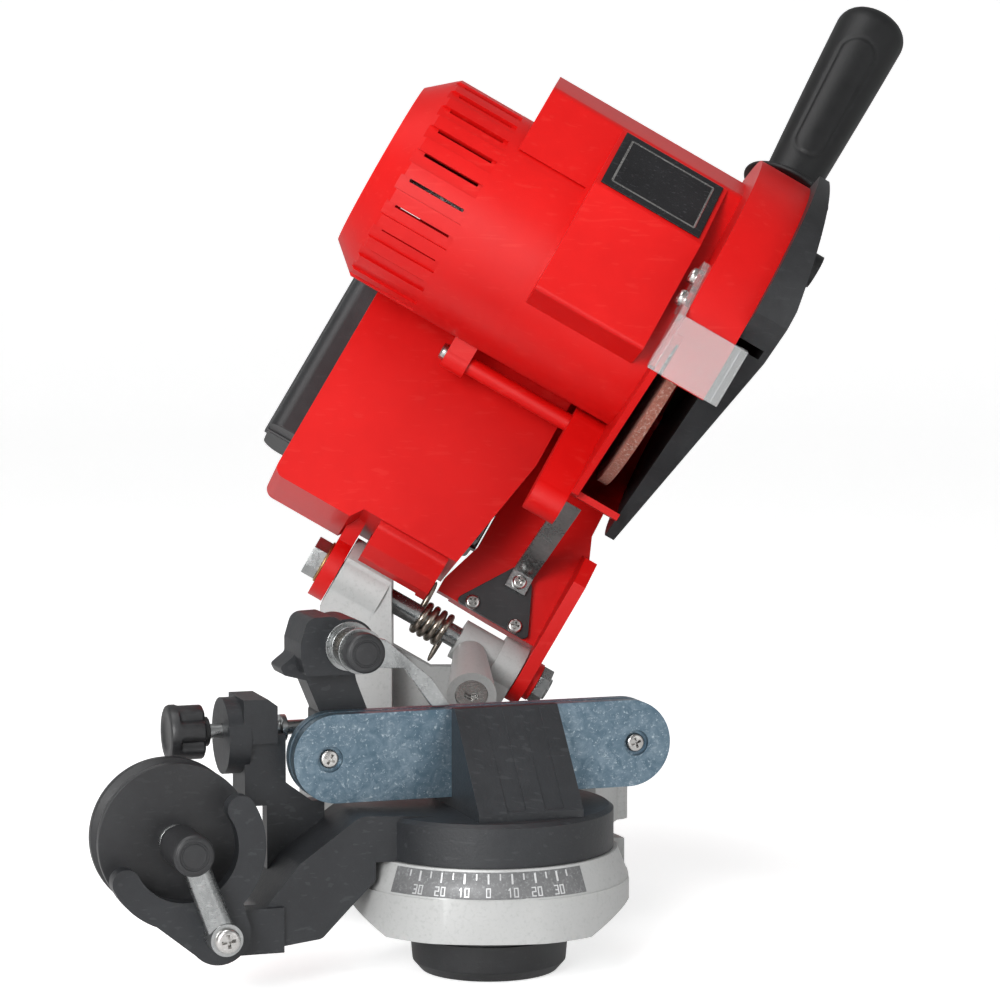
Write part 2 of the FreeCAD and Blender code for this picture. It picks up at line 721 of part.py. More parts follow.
# ---- chain roller ----
def rollerBracket():
    """Fork around the roller pin, open upwards, with a hub on the pivot screw."""
    back = lugFront - slack
    front = back - forkThick
    fork = ring(forkOuter, forkInner, (rollerX, front, rollerZ), (rollerX, back, rollerZ))
    opening = []
    for angle in (33, 62, 90, 120, 150, 180, 207):
        turn = math.radians(angle)
        opening.append((rollerX + 60 * math.cos(turn), rollerZ + 60 * math.sin(turn)))
    opening.append((rollerX, rollerZ))
    fork = fork.cut(prism(opening, "y", front - 1, back + 1))
    for angle in (33, 207):
        turn = math.radians(angle)
        middle = (forkOuter + forkInner) / 2
        x = rollerX + middle * math.cos(turn)
        z = rollerZ + middle * math.sin(turn)
        fork = fork.fuse(rod((forkOuter - forkInner) / 2, (x, front, z), (x, back, z)))
    hub = rod(12.5, (bracketX, front, bracketZ), (bracketX, back, bracketZ))
    web = prism([(rollerX - 14, rollerZ - forkOuter + 4), (bracketX - 6, bracketZ - 11),
                 (bracketX + 12, bracketZ + 2), (rollerX + 22, rollerZ - 20)], "y", front, back)
    web = web.cut(rod(forkInner, (rollerX, front - 1, rollerZ), (rollerX, back + 1, rollerZ)))
    hole = rod(screwRadius + fit, (bracketX, front - 1, bracketZ), (bracketX, back + 1, bracketZ))
    return onVise(fuse(fork, hub, web).cut(hole))


def chainRoller():
    half = rollerWidth / 2
    profile = [(rollerPin + fit, -half), (rollerRadius, -half), (rollerRadius, -half + 3.5),
               (rollerRadius - 6, -1.5), (rollerRadius - 6, 1.5), (rollerRadius, half - 3.5),
               (rollerRadius, half), (rollerPin + fit, half)]
    corners = [Vector(r, rollerMiddle + y, 0) for r, y in profile]
    body = Part.Face(Part.makePolygon(corners + corners[:1]))
    body = body.revolve(Vector(0, 0, 0), Vector(0, 1, 0), 360)
    body.translate(Vector(rollerX, 0, rollerZ))
    return onVise(body)


def rollerAxle():
    """Bolt of the roller with a flange on each side of it."""
    half = rollerWidth / 2 + 0.15
    front = rollerMiddle - half
    back = rollerMiddle + half
    shank = rod(rollerPin, (rollerX, front, rollerZ), (rollerX, back, rollerZ))
    collar = rod(7, (rollerX, front - 2.2, rollerZ), (rollerX, front, rollerZ))
    nut = hexPrism(13, (rollerX, back, rollerZ), (rollerX, back + 4, rollerZ))
    stem = rod(3.5, (rollerX, capFront + 2, rollerZ), (rollerX, front, rollerZ))
    return onVise(fuse(shank, collar, nut, stem))


def rollerCap():
    body = rod(8.2, (rollerX, capFront + 1, rollerZ), (rollerX, rollerMiddle - 17, rollerZ))
    body = body.fuse(cone(7.2, 8.2, (rollerX, capFront, rollerZ), (rollerX, capFront + 1, rollerZ)))
    hole = rod(3.5 + fit, (rollerX, capFront + 1.9, rollerZ), (rollerX, rollerMiddle, rollerZ))
    return onVise(body.cut(hole))


def rollerTube():
    """Steel arm from the cap down to the pivot screw."""
    y = lugFront - slack - forkThick - 6.5
    tube = rod(5.4, (rollerX, y, rollerZ), (bracketX, y, bracketZ))
    eye = rod(6.4, (bracketX, y - 6, bracketZ), (bracketX, y + 6.4, bracketZ))
    capRoom = rod(8.4, (rollerX, -80, rollerZ), (rollerX, 0, rollerZ))
    hole = rod(screwRadius + fit, (bracketX, y - 10, bracketZ), (bracketX, y + 10, bracketZ))
    return onVise(fuse(tube, eye).cut(capRoom).cut(hole))


def rollerScrew():
    y = lugFront - slack - forkThick - 12.5
    head = rod(5.0, (bracketX, y - 3, bracketZ), (bracketX, y, bracketZ))
    shank = rod(screwRadius, (bracketX, y, bracketZ), (bracketX, lugBack, bracketZ))
    cross = box(bracketX - 2.6, bracketX + 2.6, y - 4, y - 1.6, bracketZ - 0.5, bracketZ + 0.5)
    slot = box(bracketX - 0.5, bracketX + 0.5, y - 4, y - 1.6, bracketZ - 2.6, bracketZ + 2.6)
    return onVise(head.fuse(shank).cut(cross).cut(slot))


# ---- head ----
def toward(angle, distance):
    """A (forward, up) point from the wheel centre, at an angle below the forward line."""
    turn = math.radians(angle)
    return (motorForward + distance * math.cos(turn), motorUp - distance * math.sin(turn))


def beyond(distance, x0, x1):
    """Everything past a straight cut across the contact direction."""
    turn = math.radians(contactAngle)
    across = (math.sin(turn), math.cos(turn))
    near = toward(contactAngle, distance)
    far = toward(contactAngle, distance + 80)
    points = [(near[0] - 130 * across[0], near[1] - 130 * across[1]),
              (near[0] + 130 * across[0], near[1] + 130 * across[1]),
              (far[0] + 130 * across[0], far[1] + 130 * across[1]),
              (far[0] - 130 * across[0], far[1] - 130 * across[1])]
    return side(points, x0, x1)


def motorRod(radius, x0, x1):
    return headRod(radius, x0, x1, motorForward, motorUp)


def motorRing(outer, inner, x0, x1):
    return headRing(outer, inner, x0, x1, motorForward, motorUp)


def motorEndCover():
    """Turned cap of the motor: chamfered end, ring of vent slots, and a bearing seat inside."""
    inner = motorRadius - wall
    chamferEnd = motorEnd + motorChamfer
    profile = [(motorEnd, 0), (motorEnd, motorNose), (chamferEnd, motorRadius), (motorSeam, motorRadius),
               (motorSeam, inner), (chamferEnd + 1.5, inner), (motorEnd + wall, motorNose - 2),
               (motorEnd + wall, 0)]
    corners = [Vector(x, 0, r) for x, r in profile]
    shell = Part.Face(Part.makePolygon(corners + corners[:1]))
    shell = shell.revolve(Vector(0, 0, 0), Vector(1, 0, 0), 360)
    half = ventWidth / 2
    cuts = []
    for i in range(ventCount):
        recess = box(ventStart, ventEnd, -half, half, motorRadius - ventDepth, motorRadius + 2)
        slit = box(ventStart + 6, ventEnd - 2, half - ventSlit, half, inner - 2, motorRadius)
        for cut in (recess, slit):
            cut.rotate(Vector(0, 0, 0), Vector(1, 0, 0), 360 * (i + 0.5) / ventCount)
            cuts.append(cut)
    shell = shell.cut(cuts)
    shell.translate(Vector(0, -motorForward, motorUp))
    seat = motorRing(14, 11 + fit, motorEnd + wall - 0.5, -110)
    collar = headRod(6.5, motorSeam - 16, motorSeam - 5, tieForward, tieUp)
    web = side([(tieForward - 5.5, tieUp - 2), (tieForward + 5.5, tieUp - 2), (tieForward + 14, tieUp + 14),
                (tieForward - 5, tieUp + 16)], motorSeam - 16, motorSeam - 5)
    web = web.cut(motorRod(inner + 1, -130, 0))
    body = fuse(shell, seat, collar, web)
    body = body.cut(motorRod(tailRadius + 1.5, motorEnd + wall + 0.5, -100))
    return onHead(body.cut(headRod(2 + fit, -70, 0, tieForward, tieUp)))


def motorBlock():
    """Outline of the block beside the motor, as (forward, up)."""
    return [tangent(blockSlope), blockShoulder, (101, 219), (92, 222), (50, 222), (boxFront, 213), (boxFront, 110)]


def tangent(angle):
    """Point where a face that leans back by this angle meets the motor's round side."""
    turn = math.radians(angle)
    return (motorForward + motorRadius * math.cos(turn), motorUp + motorRadius * math.sin(turn))


def motorHousing():
    inner = motorRadius - wall
    block = side(motorBlock(), motorSeam, motorRight, [0, 6, 6, 3, 6, 3, 4])
    start = Vector(*tangent(blockSlope), 0)
    lip = start + (Vector(*blockShoulder, 0) - start).normalize() * 9
    over = side([(lip.x, lip.y)] + motorBlock()[1:-1] + [(boxFront, lip.y)], overLeft, motorSeam,
                [0, 6, 6, 3, 6, 3, 0])
    over = over.cut(motorRod(motorRadius + 0.4, overLeft - 1, motorSeam))
    panel = side([(120, panelLow), (panelFront, panelLow), (panelFront, panelKnee), panelTop, (118, 203)],
                 panelLeft, panelRight, [0, 2, 2, 2, 0])
    body = fuse(block, over, motorRod(motorRadius, motorSeam, motorRight), panel)
    top = [(123, 200.3), (99.5, 215.5), (91.5, 218.5), (51, 218.5), (boxFront + wall, 211.5)]
    hollow = side([(134, 158)] + top + [(boxFront + wall, 114)], motorSeam + wall, motorRight - 4)
    hollow = hollow.fuse(side([(122.5, 198)] + top + [(boxFront + wall, 199)], overLeft + wall,
                              motorSeam + wall + 1))
    body = body.cut(hollow).cut(motorRod(inner, motorSeam - 1, motorRight - 4))
    body = body.fuse(motorRing(motorRadius, inner, motorSeam, motorSeam + 6))
    body = body.fuse(motorRing(17, 14 + fit, 7, motorRight - 3)).fuse(motorRing(14.5, 12, 16, motorRight))
    body = body.cut(motorRod(8, 0, motorRight + 1))
    for x, up in blockScrews():
        post = rod(5, (x, -boxFront - 0.5, up), (x, -boxFront - 12, up))
        body = body.fuse(post.cut(motorRod(motorRadius - 1, -80, 40)))
        body = body.cut(rod(2, (x, -boxFront + 1, up), (x, -boxFront - 11, up)))
    return onHead(body.removeSplitter())


def blockScrews():
    return [(-30, 121), (8, 121), (-30, 200), (8, 200)]


def labelPlate():
    """Bare plate on the slope above the panel."""
    low = Vector(0, -panelFront, panelKnee)
    high = Vector(0, -panelTop[0], panelTop[1])
    along = (high - low).normalize()
    out = Vector(0, -along.z, along.y)
    start = low + along * 2
    end = high - along * 1.5
    corners = [start, end, end + out * 0.8, start + out * 0.8]
    points = [Vector(panelLeft + 2, p.y, p.z) for p in corners]
    plate = Part.Face(Part.makePolygon(points + points[:1])).extrude(Vector(panelRight - panelLeft - 4, 0, 0))
    return onHead(plate.cut(motorHousingLocal()))


def motorHousingLocal():
    return placed(motorHousing(), hingeFrame(headLean).inverse())


def guardOutline(inset):
    """Upper outline of the guard up to the neck, as (forward, up)."""
    return [(158 - inset * 1.5, 180 - inset), (98 - inset, 223 - inset), (95 - inset, 227.7 - inset),
            (61 + inset, 225.3 - inset), (10 + inset * 1.5, 176 - inset), (30, 120), (140, 120)]


def wheelGuard():
    """Guard round the back and top of the wheel, with the handle neck and the tie lug."""
    outer = motorRod(guardRadius, guardLeft, guardRight)
    outer = outer.fuse(side(guardOutline(0), guardLeft, guardRight, [3, 3, 0, 3, 3, 0, 0]))
    inner = motorRod(guardRadius - wall, guardLeft + wall, guardRight + 1)
    inner = inner.fuse(side(guardOutline(wall), guardLeft + wall, guardRight + 1))
    body = outer.cut(inner)
    sector = [(motorForward, motorUp)] + [toward(a, 130) for a in (openStart, 55, 78, openEnd)]
    body = body.cut(side(sector, guardLeft + wall, guardRight + 1))
    body = body.cut(beyond(wallChord, guardLeft - 1, guardLeft + wall + 1))
    slope = prism([(guardRight, 100), (43.5, 60), (43.5, 30), (70, 30), (70, 100)], "y", -200, 0)
    body = body.cut(slope).cut(motorRod(20, guardLeft - 1, guardLeft + wall + 1))
    for angle in coverScrewAngles():
        forward, up = toward(angle, guardRadius - 5)
        post = headRod(4.5, guardLeft + wall - 1, guardRight, forward, up)
        body = body.fuse(post.cut(motorRod(wheelRadius + 2, 0, 80)))
        body = body.cut(headRod(1.7, guardLeft + wall + 5, guardRight + 1, forward, up))
    capsule = side([(tieForward - 8, tieUp), (tieForward + 8, tieUp), (79, 58), (61, 58)], 5, guardLeft, 0)
    lug = fuse(capsule, headRod(8, 5, guardLeft, tieForward, tieUp), headRod(9, 5, guardLeft, 70, 58))
    tube = headRod(4, motorSeam - 4.8, 6, tieForward, tieUp)
    lug = fuse(lug, tube).cut(side(motorBlock(), -80, guardLeft)).cut(motorRod(motorRadius + 0.1, -80, 20.0))
    body = fuse(body, lug)
    body = body.cut(headRod(2 + fit, -60, 16, tieForward, tieUp))
    for up in visorScrews():
        body = body.cut(headRod(1.7, guardLeft - 1, guardLeft + wall + 1, 150, up))
    body = body.fuse(cone(15.5, 18.5, *gripLine(-gripCollar, 0)))
    return onHead(body.cut(rod(coreRadius + fit, *gripLine(-20, 20))))


def coverScrewAngles():
    return (-12, -52, -140, -190)


def visorScrews():
    return (140.0, 151.0)


def coverAt(up):
    """Where the cover's outer face is at that height."""
    return coverFace - max(0, up - coverShoulder) * coverSlope


def guardCover():
    """Black outer cover of the wheel: its face leans inward at the top and at the lower tip."""
    top = [(162, 184), (100, 223), (58, 223), (8, 184), (30, 120), (150, 120)]
    body = motorRod(coverRadius, guardRight - 4, coverFace)
    body = body.fuse(side(top, guardRight - 4, coverFace, [8, 6, 6, 8, 0, 0]))
    section = [(guardRight, coverTop), (coverAt(coverTop), coverTop), (coverFace, coverShoulder),
               (coverFace, 128), (48, 60), (48, 30), (43.5, 30), (43.5, 60), (guardRight, 100)]
    body = body.common(prism(section, "y", -220, 20)).cut(beyond(coverChord, 30, 80))
    room = [(guardRight - 5, coverTop), (coverAt(coverTop) - wall, coverTop), (coverFace - wall, coverShoulder),
            (coverFace - wall, 128), (guardRight - 5, 128)]
    room = prism(room, "y", -300, 100)
    body = body.cut(motorRod(coverRadius - 12, guardRight - 5, coverFace).common(room))
    body = body.fuse(headRod(7.5, coverAt(192) - 4, coverAt(192) + 11, 120, 192))
    body = body.fuse(motorRing(8, 4, coverInner, coverFace - wall + 0.5))
    for angle in coverScrewAngles():
        forward, up = toward(angle, guardRadius - 5)
        face = coverAt(up)
        body = body.fuse(headRod(4.5, guardRight, face - 1.4, forward, up))
        body = body.cut(headRod(2 + fit, guardRight - 1, face + 1, forward, up))
        body = body.cut(headRod(4.2, face - 3.2, face + 3, forward, up))
    return onHead(body)


def coverScrews():
    parts = []
    for angle in coverScrewAngles():
        forward, up = toward(angle, guardRadius - 5)
        seat = coverAt(up) - 3.2
        head = headRod(4.0, seat, seat + 2.2, forward, up)
        shank = headRod(1.65, guardRight - 12, seat, forward, up)
        parts.append(head.fuse(shank))
    return onHead(group(parts))


def visor():
    """Clear spark shield: flat plate on the rim's mouth and a tab screwed to the guard wall."""
    turn = math.radians(24)
    out = (math.cos(turn), -math.sin(turn))
    down = (-math.sin(turn), -math.cos(turn))

    def at(distance, along):
        return (motorForward + out[0] * distance + down[0] * along,
                motorUp + out[1] * distance + down[1] * along)

    near = guardRadius + 0.3
    high, low = -15, 11
    plate = side([at(near, high), at(near + 3, high), at(near + 3, low), at(near, low)], guardLeft - 3, visorRight)
    edge = side([at(near - 6, high), at(near, high), at(near, low), at(near - 6, low)], visorRight - 3,
                visorRight)
    tab = side([(144, 134), (144, 157), (157, 157), at(near + 3, high), at(near + 3, low), at(near - 6, low),
                (160, 130)], guardLeft - 3, guardLeft, [4, 4, 4, 0, 0, 4, 0])
    body = fuse(plate, tab, edge)
    for up in visorScrews():
        body = body.cut(headRod(2, guardLeft - 4, guardLeft + 1, 150, up))
    return onHead(body)


def caseScrews():
    """Small pan head screws of the visor, the stop plate and the rear cover."""
    parts = []
    for up in visorScrews():
        parts.append(screw((guardLeft - 3, -150, up), (1, 0, 0), 3.8, 2.2, 1.65, 6))
    for x, up in stopPlateScrews()[1:]:
        parts.append(screw((x, -6, up), (0, 1, 0), 3.4, 2.2, 1.65, 9))
    x, up = stopPlateScrews()[0]
    parts.append(screw((x, -8.5, up), (0, 1, 0), 3.4, 2.2, 1.65, 11.5))
    for x, up in rearCoverScrews():
        parts.append(screw((x, -boxBack + lidThick, up), (0, -1, 0), 3.0, 1.8, 1.5, 2.9))
    return onHead(group(parts))


def gripLine(low, high):
    """Two points on the axis of the handle, measured up from the neck."""
    lean = math.radians(gripLean)
    points = []
    for reach in (low, high):
        points.append((gripX, -gripForward + reach * math.sin(lean), gripBase + reach * math.cos(lean)))
    return points


def handleGrip():
    base, top = gripLine(0, 4)
    flange = rod(gripFlange, base, top)
    start, shoulder = gripLine(4, gripLength - 8)
    body = cone(gripNeck, gripEnd, start, shoulder)
    start, end = gripLine(gripLength - 8, gripLength)
    tip = cone(gripEnd, gripEnd - 4, start, end)
    collarStart, collarEnd = gripLine(4, 9)
    collar = cone(gripNeck + 4, gripNeck, collarStart, collarEnd)
    boreStart, boreEnd = gripLine(-1, 75.2)
    return onHead(fuse(flange, body, tip, collar).cut(rod(coreRadius + fit, boreStart, boreEnd)))


def handleCore():
    """Steel core of the handle, with its head under the neck of the guard."""
    return onHead(fuse(rod(coreRadius, *gripLine(-8, 75)), hexPrism(12, *gripLine(-9.8, -6.8))))


def spineHousing():
    """Lower red housing between the hinge and the motor, with the hinge lugs and the belly."""
    outline = [(boxLeft, boxFoot), (lugLeft[0] - 1, boxFoot), (lugLeft[0] + 3, boxLow), (-7, boxLow), (3, 77),
               (3, boxHigh), (boxLeft, boxHigh)]
    shell = prism(outline, "y", -boxFront, -boxBack, [5, 0, 0, 0, 0, 0, 8])
    inside = [(boxLeft + wall, boxLow + wall), (-9.5, boxLow + wall), (0, 77), (0, boxHigh - wall),
              (boxLeft + wall, boxHigh - wall)]
    hollow = prism(inside, "y", -boxFront + wall, -boxBack + 1, [3, 0, 0, 0, 5])
    plate = prism([(0, 14), (20, 13.5), (lugRight[1], 13.5), (lugRight[1], 56), (43, 72), (40, boxHigh),
                   (0, boxHigh)], "y", -3, 5)
    corner = prism([(-6.5, boxLow + 1), (-6.5, 14), (1, 14), (1, boxLow + 25)], "y", -3, -boxBack)
    left = side([(-2, 0), (12, 8), (22, 22), (-2, 22)], *lugLeft)
    left = left.fuse(headRod(16, *lugLeft, 0, 0))
    cheek = side([(-5, 0), (12.2, -4.5), (30, 42), (24, 56), (-5, 64)], *lugRight)
    cheek = fuse(cheek, headRod(13, *lugRight, 0, 0), headRod(9, lugRight[1] - 1, hubEnd, 0, 0))
    belly = side([(-2, 22), (38, 22), (38, 17), (32, 9.5), (24, 5), (14, 4), (8, 6), (-2, 10)], -45, -10.5,
                 [0, 0, 4, 4, 4, 4, 2, 0])
    belly = belly.cut(headRod(17.6, -50, -15, 0, 0)).cut(headRod(9.2, -16, 0, 0, 0))
    belly = belly.cut(box(-46, -36, -45, -33, 0, 10)).cut(box(-26, -17, -45, -33, 0, 10))
    body = fuse(shell.cut(hollow), plate, corner, left, cheek, belly)
    body = body.cut(headRod(bushRadius, lugLeft[0] - 1, lugLeft[1] + 1, 0, 0))
    body = body.cut(headRod(bushRadius, lugRight[0] - 1, 60, 0, 0))
    for x, up in blockScrews():
        if up < boxHigh:
            body = body.cut(rod(2 + fit, (x, -30, up), (x, -50, up)))
    for x, up in stopPlateScrews():
        body = body.cut(rod(1.7, (x, 5, up), (x, -4, up)))
    return onHead(body)


def stopPlateScrews():
    return [(23.6, 34.7), (9.5, 16.5), (31.5, 16.5)]


def stopPlate():
    plate = prism([(1.6, 13.6), (20, 43), (29.7, 37), (40, 13.6)], "y", -6, -3, 2)
    for x, up in stopPlateScrews():
        plate = plate.cut(rod(2, (x, 0, up), (x, -8, up)))
    return onHead(plate)


def linkStrip():
    """Zinc strip from the tie lug down to the stop plate."""
    bar = side([(6, 30.5), (8.5, 30.5), (8.5, 39), (60, 59.5), (66, 62), (60, 64), (6, 42.5)], 18.5, 28.5)
    channel = side([(10, 42.3), (10, 41), (56, 59.4), (56, 70)], 20.5, 26.5)
    bar = bar.cut(channel).cut(onHeadInverse(wheelGuard()))
    x, up = stopPlateScrews()[0]
    return onHead(bar.cut(rod(2, (x, 0, up), (x, -20, up))))


def onHeadInverse(shape):
    return placed(shape, hingeFrame(headLean).inverse())


def rearCover():
    outline = [(boxLeft, boxLow), (-7, boxLow), (0, 60), (0, boxHigh), (boxLeft, boxHigh)]
    plate = prism(outline, "y", -boxBack, -boxBack + lidThick, [5, 0, 0, 0, 8])
    for x in (-82, -36):
        for up in (66, 124):
            plate = plate.fuse(rod(3, (x, 3, up), (x, -1, up)))
    for x, up in rearCoverScrews():
        plate = plate.cut(rod(1.5 + fit, (x, 0, up), (x, 10, up)))
    window = box(-64, -36, 0, 10, 148, 168)
    return onHead(plate.cut(window).removeSplitter())


def rearCoverScrews():
    return [(-90, 28), (-16, 28), (-90, 176), (-8, 176)]


def housingScrews():
    parts = []
    for x, up in blockScrews():
        if up < boxHigh:
            parts.append(screw((x, -boxFront + wall, up), (0, -1, 0), 3.8, 2.4, 1.95, 12))
    return onHead(group(parts))


def tieScrew():
    body = screw((motorSeam - 16, -tieForward, tieUp), (1, 0, 0), 3.8, 2.6, 2, 70)
    return onHead(body)


def hingeBushes():
    left = fuse(headRing(bushRadius, axleRadius + fit, *lugLeft, 0, 0),
                headRing(10, axleRadius + fit, lugLeft[0] - 1, lugLeft[0], 0, 0))
    right = headRing(bushRadius, axleRadius + fit, lugRight[0], hubEnd + 0.1, 0, 0)
    return onHead(group([left, right]))


def batteryPack():
    """Battery case behind the housing; it slides off sideways on two rails."""
    front = -boxBack + lidThick
    plan = [(packLeft, front), (packRight, front), (packRight, -packBack), (packLeft, -packBack)]
    body = prism(plan, "z", packLow, packHigh, [6, 4, 9, 9])
    band = prism([(packLeft - 1.2, front + 14), (packRight + 1.2, front + 14), (packRight + 1.2, front + 19),
                  (packLeft - 1.2, front + 19)], "z", packLow - 1.2, packHigh + 1.2, 0)
    body = body.fuse(band)
    room = box(packLeft + 3, packRight - 3, front + 3, -packBack - 3, packLow + 3, packHigh - 3)
    pocket = box(latchX - 0.2, latchX + 14.2, front + 21.8, front + 32.2, packHigh - 5.4, packHigh + 2)
    floor = box(latchX - 2, latchX + 16, front + 20, front + 34, packHigh - 8, packHigh)
    return onHead(fuse(body.cut(room), floor).cut(pocket))


def batteryLatch():
    front = -boxBack + lidThick
    return onHead(box(latchX, latchX + 14, front + 22, front + 32, packHigh - 2, packHigh + 2.5))


def batteryCells():
    """Ten round cells in two rows, standing between the pack's floor and top."""
    front = -boxBack + lidThick
    cells = []
    for row in range(2):
        for i in range(5):
            x = packLeft + 15 + i * 19.6
            y = front + 13 + row * 19
            cells.append(rod(cellRadius, (x, y, packLow + 3), (x, y, packLow + 3 + cellLength)))
    return onHead(group(cells))


def controlBoard():
    board = box(-86, -32, -2.6, -1, 62, 128)
    parts = [board]
    for x, up, size, tall in ((-76, 76, 10, 8), (-58, 84, 14, 6), (-44, 108, 9, 12), (-70, 110, 12, 5)):
        parts.append(box(x - size / 2, x + size / 2, -2.6 - tall, -2.6, up - size / 2, up + size / 2))
    return onHead(fuse(*parts))


def switchBody():
    back = -boxBack + lidThick
    frame = box(-66, -34, back, back + 2, 146, 170)
    body = box(-63.8, -36.2, -12, back, 148.2, 167.8)
    well = box(-62, -38, -6, back + 3, 150, 166)
    pins = [box(x - 0.4, x + 0.4, -18, -11, 154, 160) for x in (-57, -43)]
    return onHead(fuse(frame, body, *pins).cut(well))


def switchRocker():
    """Rocker that tips about a pin across the switch."""
    back = -boxBack + lidThick
    y = back - 2.5
    key = prism([(y - 3, 158), (y, 151.5), (y + 6.2, 151), (y + 4.6, 158), (y + 6.2, 165), (y, 164.5)],
                "x", -61.5, -38.5)
    return onHead(fuse(key, rod(1.5, (-62, y, 158), (-38, y, 158))))


def grindingWheel():
    half = wheelThick / 2
    return onHead(motorRing(wheelRadius, arborRadius, wheelX - half, wheelX + half))


def innerFlange():
    start = wheelX - wheelThick / 2
    body = fuse(motorRod(flangeRadius, start - 3.5, start), motorRod(14, start - 5, start - 3),
                motorRod(arborRadius - fit, start, start + wheelThick - 0.8))
    return onHead(body.cut(motorRod(shaftRadius, start - 10, start + 10)))


def outerFlange():
    start = wheelX + wheelThick / 2
    return onHead(motorRing(flangeRadius, shaftRadius, start, start + 3.2))


def spindleNut():
    start = wheelX + wheelThick / 2 + 3.2
    nut = hexPrism(19, (start, -motorForward, motorUp), (start + 6, -motorForward, motorUp))
    return onHead(nut.cut(motorRod(shaftRadius, start - 1, start + 7)))


def motorShaft():
    return onHead(fuse(motorRod(shaftRadius, -108, 45), motorRod(tailRadius, -118, -108)))


def rotorCore():
    body = motorRing(rotorRadius, shaftRadius, -38, -2)
    for i in range(8):
        slot = box(-39, -1, -1.2, 1.2, rotorRadius - 9, rotorRadius + 1)
        slot.rotate(Vector(0, 0, 0), Vector(1, 0, 0), 360 * i / 8)
        slot.translate(Vector(0, -motorForward, motorUp))
        body = body.cut(slot)
    return onHead(body.fuse(motorRing(12, shaftRadius, -2, 4)))


def statorCore():
    body = motorRing(motorRadius - wall, statorInner, motorSeam + 3, 2)
    return onHead(body)


def motorFan():
    body = motorRing(13, shaftRadius, -75, -60)
    for i in range(9):
        blade = box(-74, -62, -0.8, 0.8, 11, fanRadius)
        blade.rotate(Vector(-68, 0, 0), Vector(0, 0, 1), 25)
        blade.rotate(Vector(0, 0, 0), Vector(1, 0, 0), 40 * i)
        blade.translate(Vector(0, -motorForward, motorUp))
        body = body.fuse(blade)
    return onHead(body)


def motorBearings():
    left = motorRing(11, tailRadius + fit, -117, -110)
    right = motorRing(14, shaftRadius + fit, 8, 16)
    return onHead(group([left, right]))


def export(node, shape):
    shape.exportStep("parts/" + node + ".step")


os.makedirs("parts", exist_ok=True)
pieces = {
    "base_casting": baseCasting,
    "hinge_axle": hingeAxle,
    "axle_nut": axleNut,
    "axle_set_screw": axleSetScrew,
    "return_spring": returnSpring,
    "lock_knob": lockKnob,
    "swivel_stud": swivelStud,
    "vise_turntable": viseTurntable,
    "vise_block": viseBlock,
    "front_rail": frontRail,
    "rear_rail": rearRail,
    "rail_screws": railScrews,
    "clamp_screw": clampScrew,
    "clamp_knob": clampKnob,
    "stop_bracket": stopBracket,
    "stop_lead_screw": stopThumbScrew,
    "stop_thumb_knob": stopThumbKnob,
    "stop_arm": stopArm,
    "pawl_bolt": pawlBolt,
    "pawl_cap": pawlCap,
    "pawl_spring": pawlSpring,
    "stop_pawl": stopPawl,
    "roller_bracket": rollerBracket,
    "chain_roller": chainRoller,
    "roller_axle": rollerAxle,
    "roller_cap": rollerCap,
    "roller_tube": rollerTube,
    "roller_pivot_screw": rollerScrew,
    "spine_housing": spineHousing,
    "hinge_bushes": hingeBushes,
    "stop_plate": stopPlate,
    "link_strip": linkStrip,
    "rear_cover": rearCover,
    "housing_screws": housingScrews,
    "tie_screw": tieScrew,
    "motor_housing": motorHousing,
    "motor_end_cover": motorEndCover,
    "label_plate": labelPlate,
    "wheel_guard": wheelGuard,
    "guard_cover": guardCover,
    "guard_cover_screws": coverScrews,
    "visor": visor,
    "case_screws": caseScrews,
    "handle_grip": handleGrip,
    "handle_core": handleCore,
    "battery_pack": batteryPack,
    "battery_latch": batteryLatch,
    "battery_cells": batteryCells,
    "control_board": controlBoard,
    "switch_body": switchBody,
    "switch_rocker": switchRocker,
    "grinding_wheel": grindingWheel,
    "inner_flange": innerFlange,
    "outer_flange": outerFlange,
    "spindle_nut": spindleNut,
    "motor_shaft": motorShaft,
    "motor_rotor": rotorCore,
    "motor_stator": statorCore,
    "motor_fan": motorFan,
    "motor_bearings": motorBearings,
}
for node, make in pieces.items():
    export(node, make())
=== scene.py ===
import json
import math

import bmesh
import bpy
from mathutils import Matrix, Vector

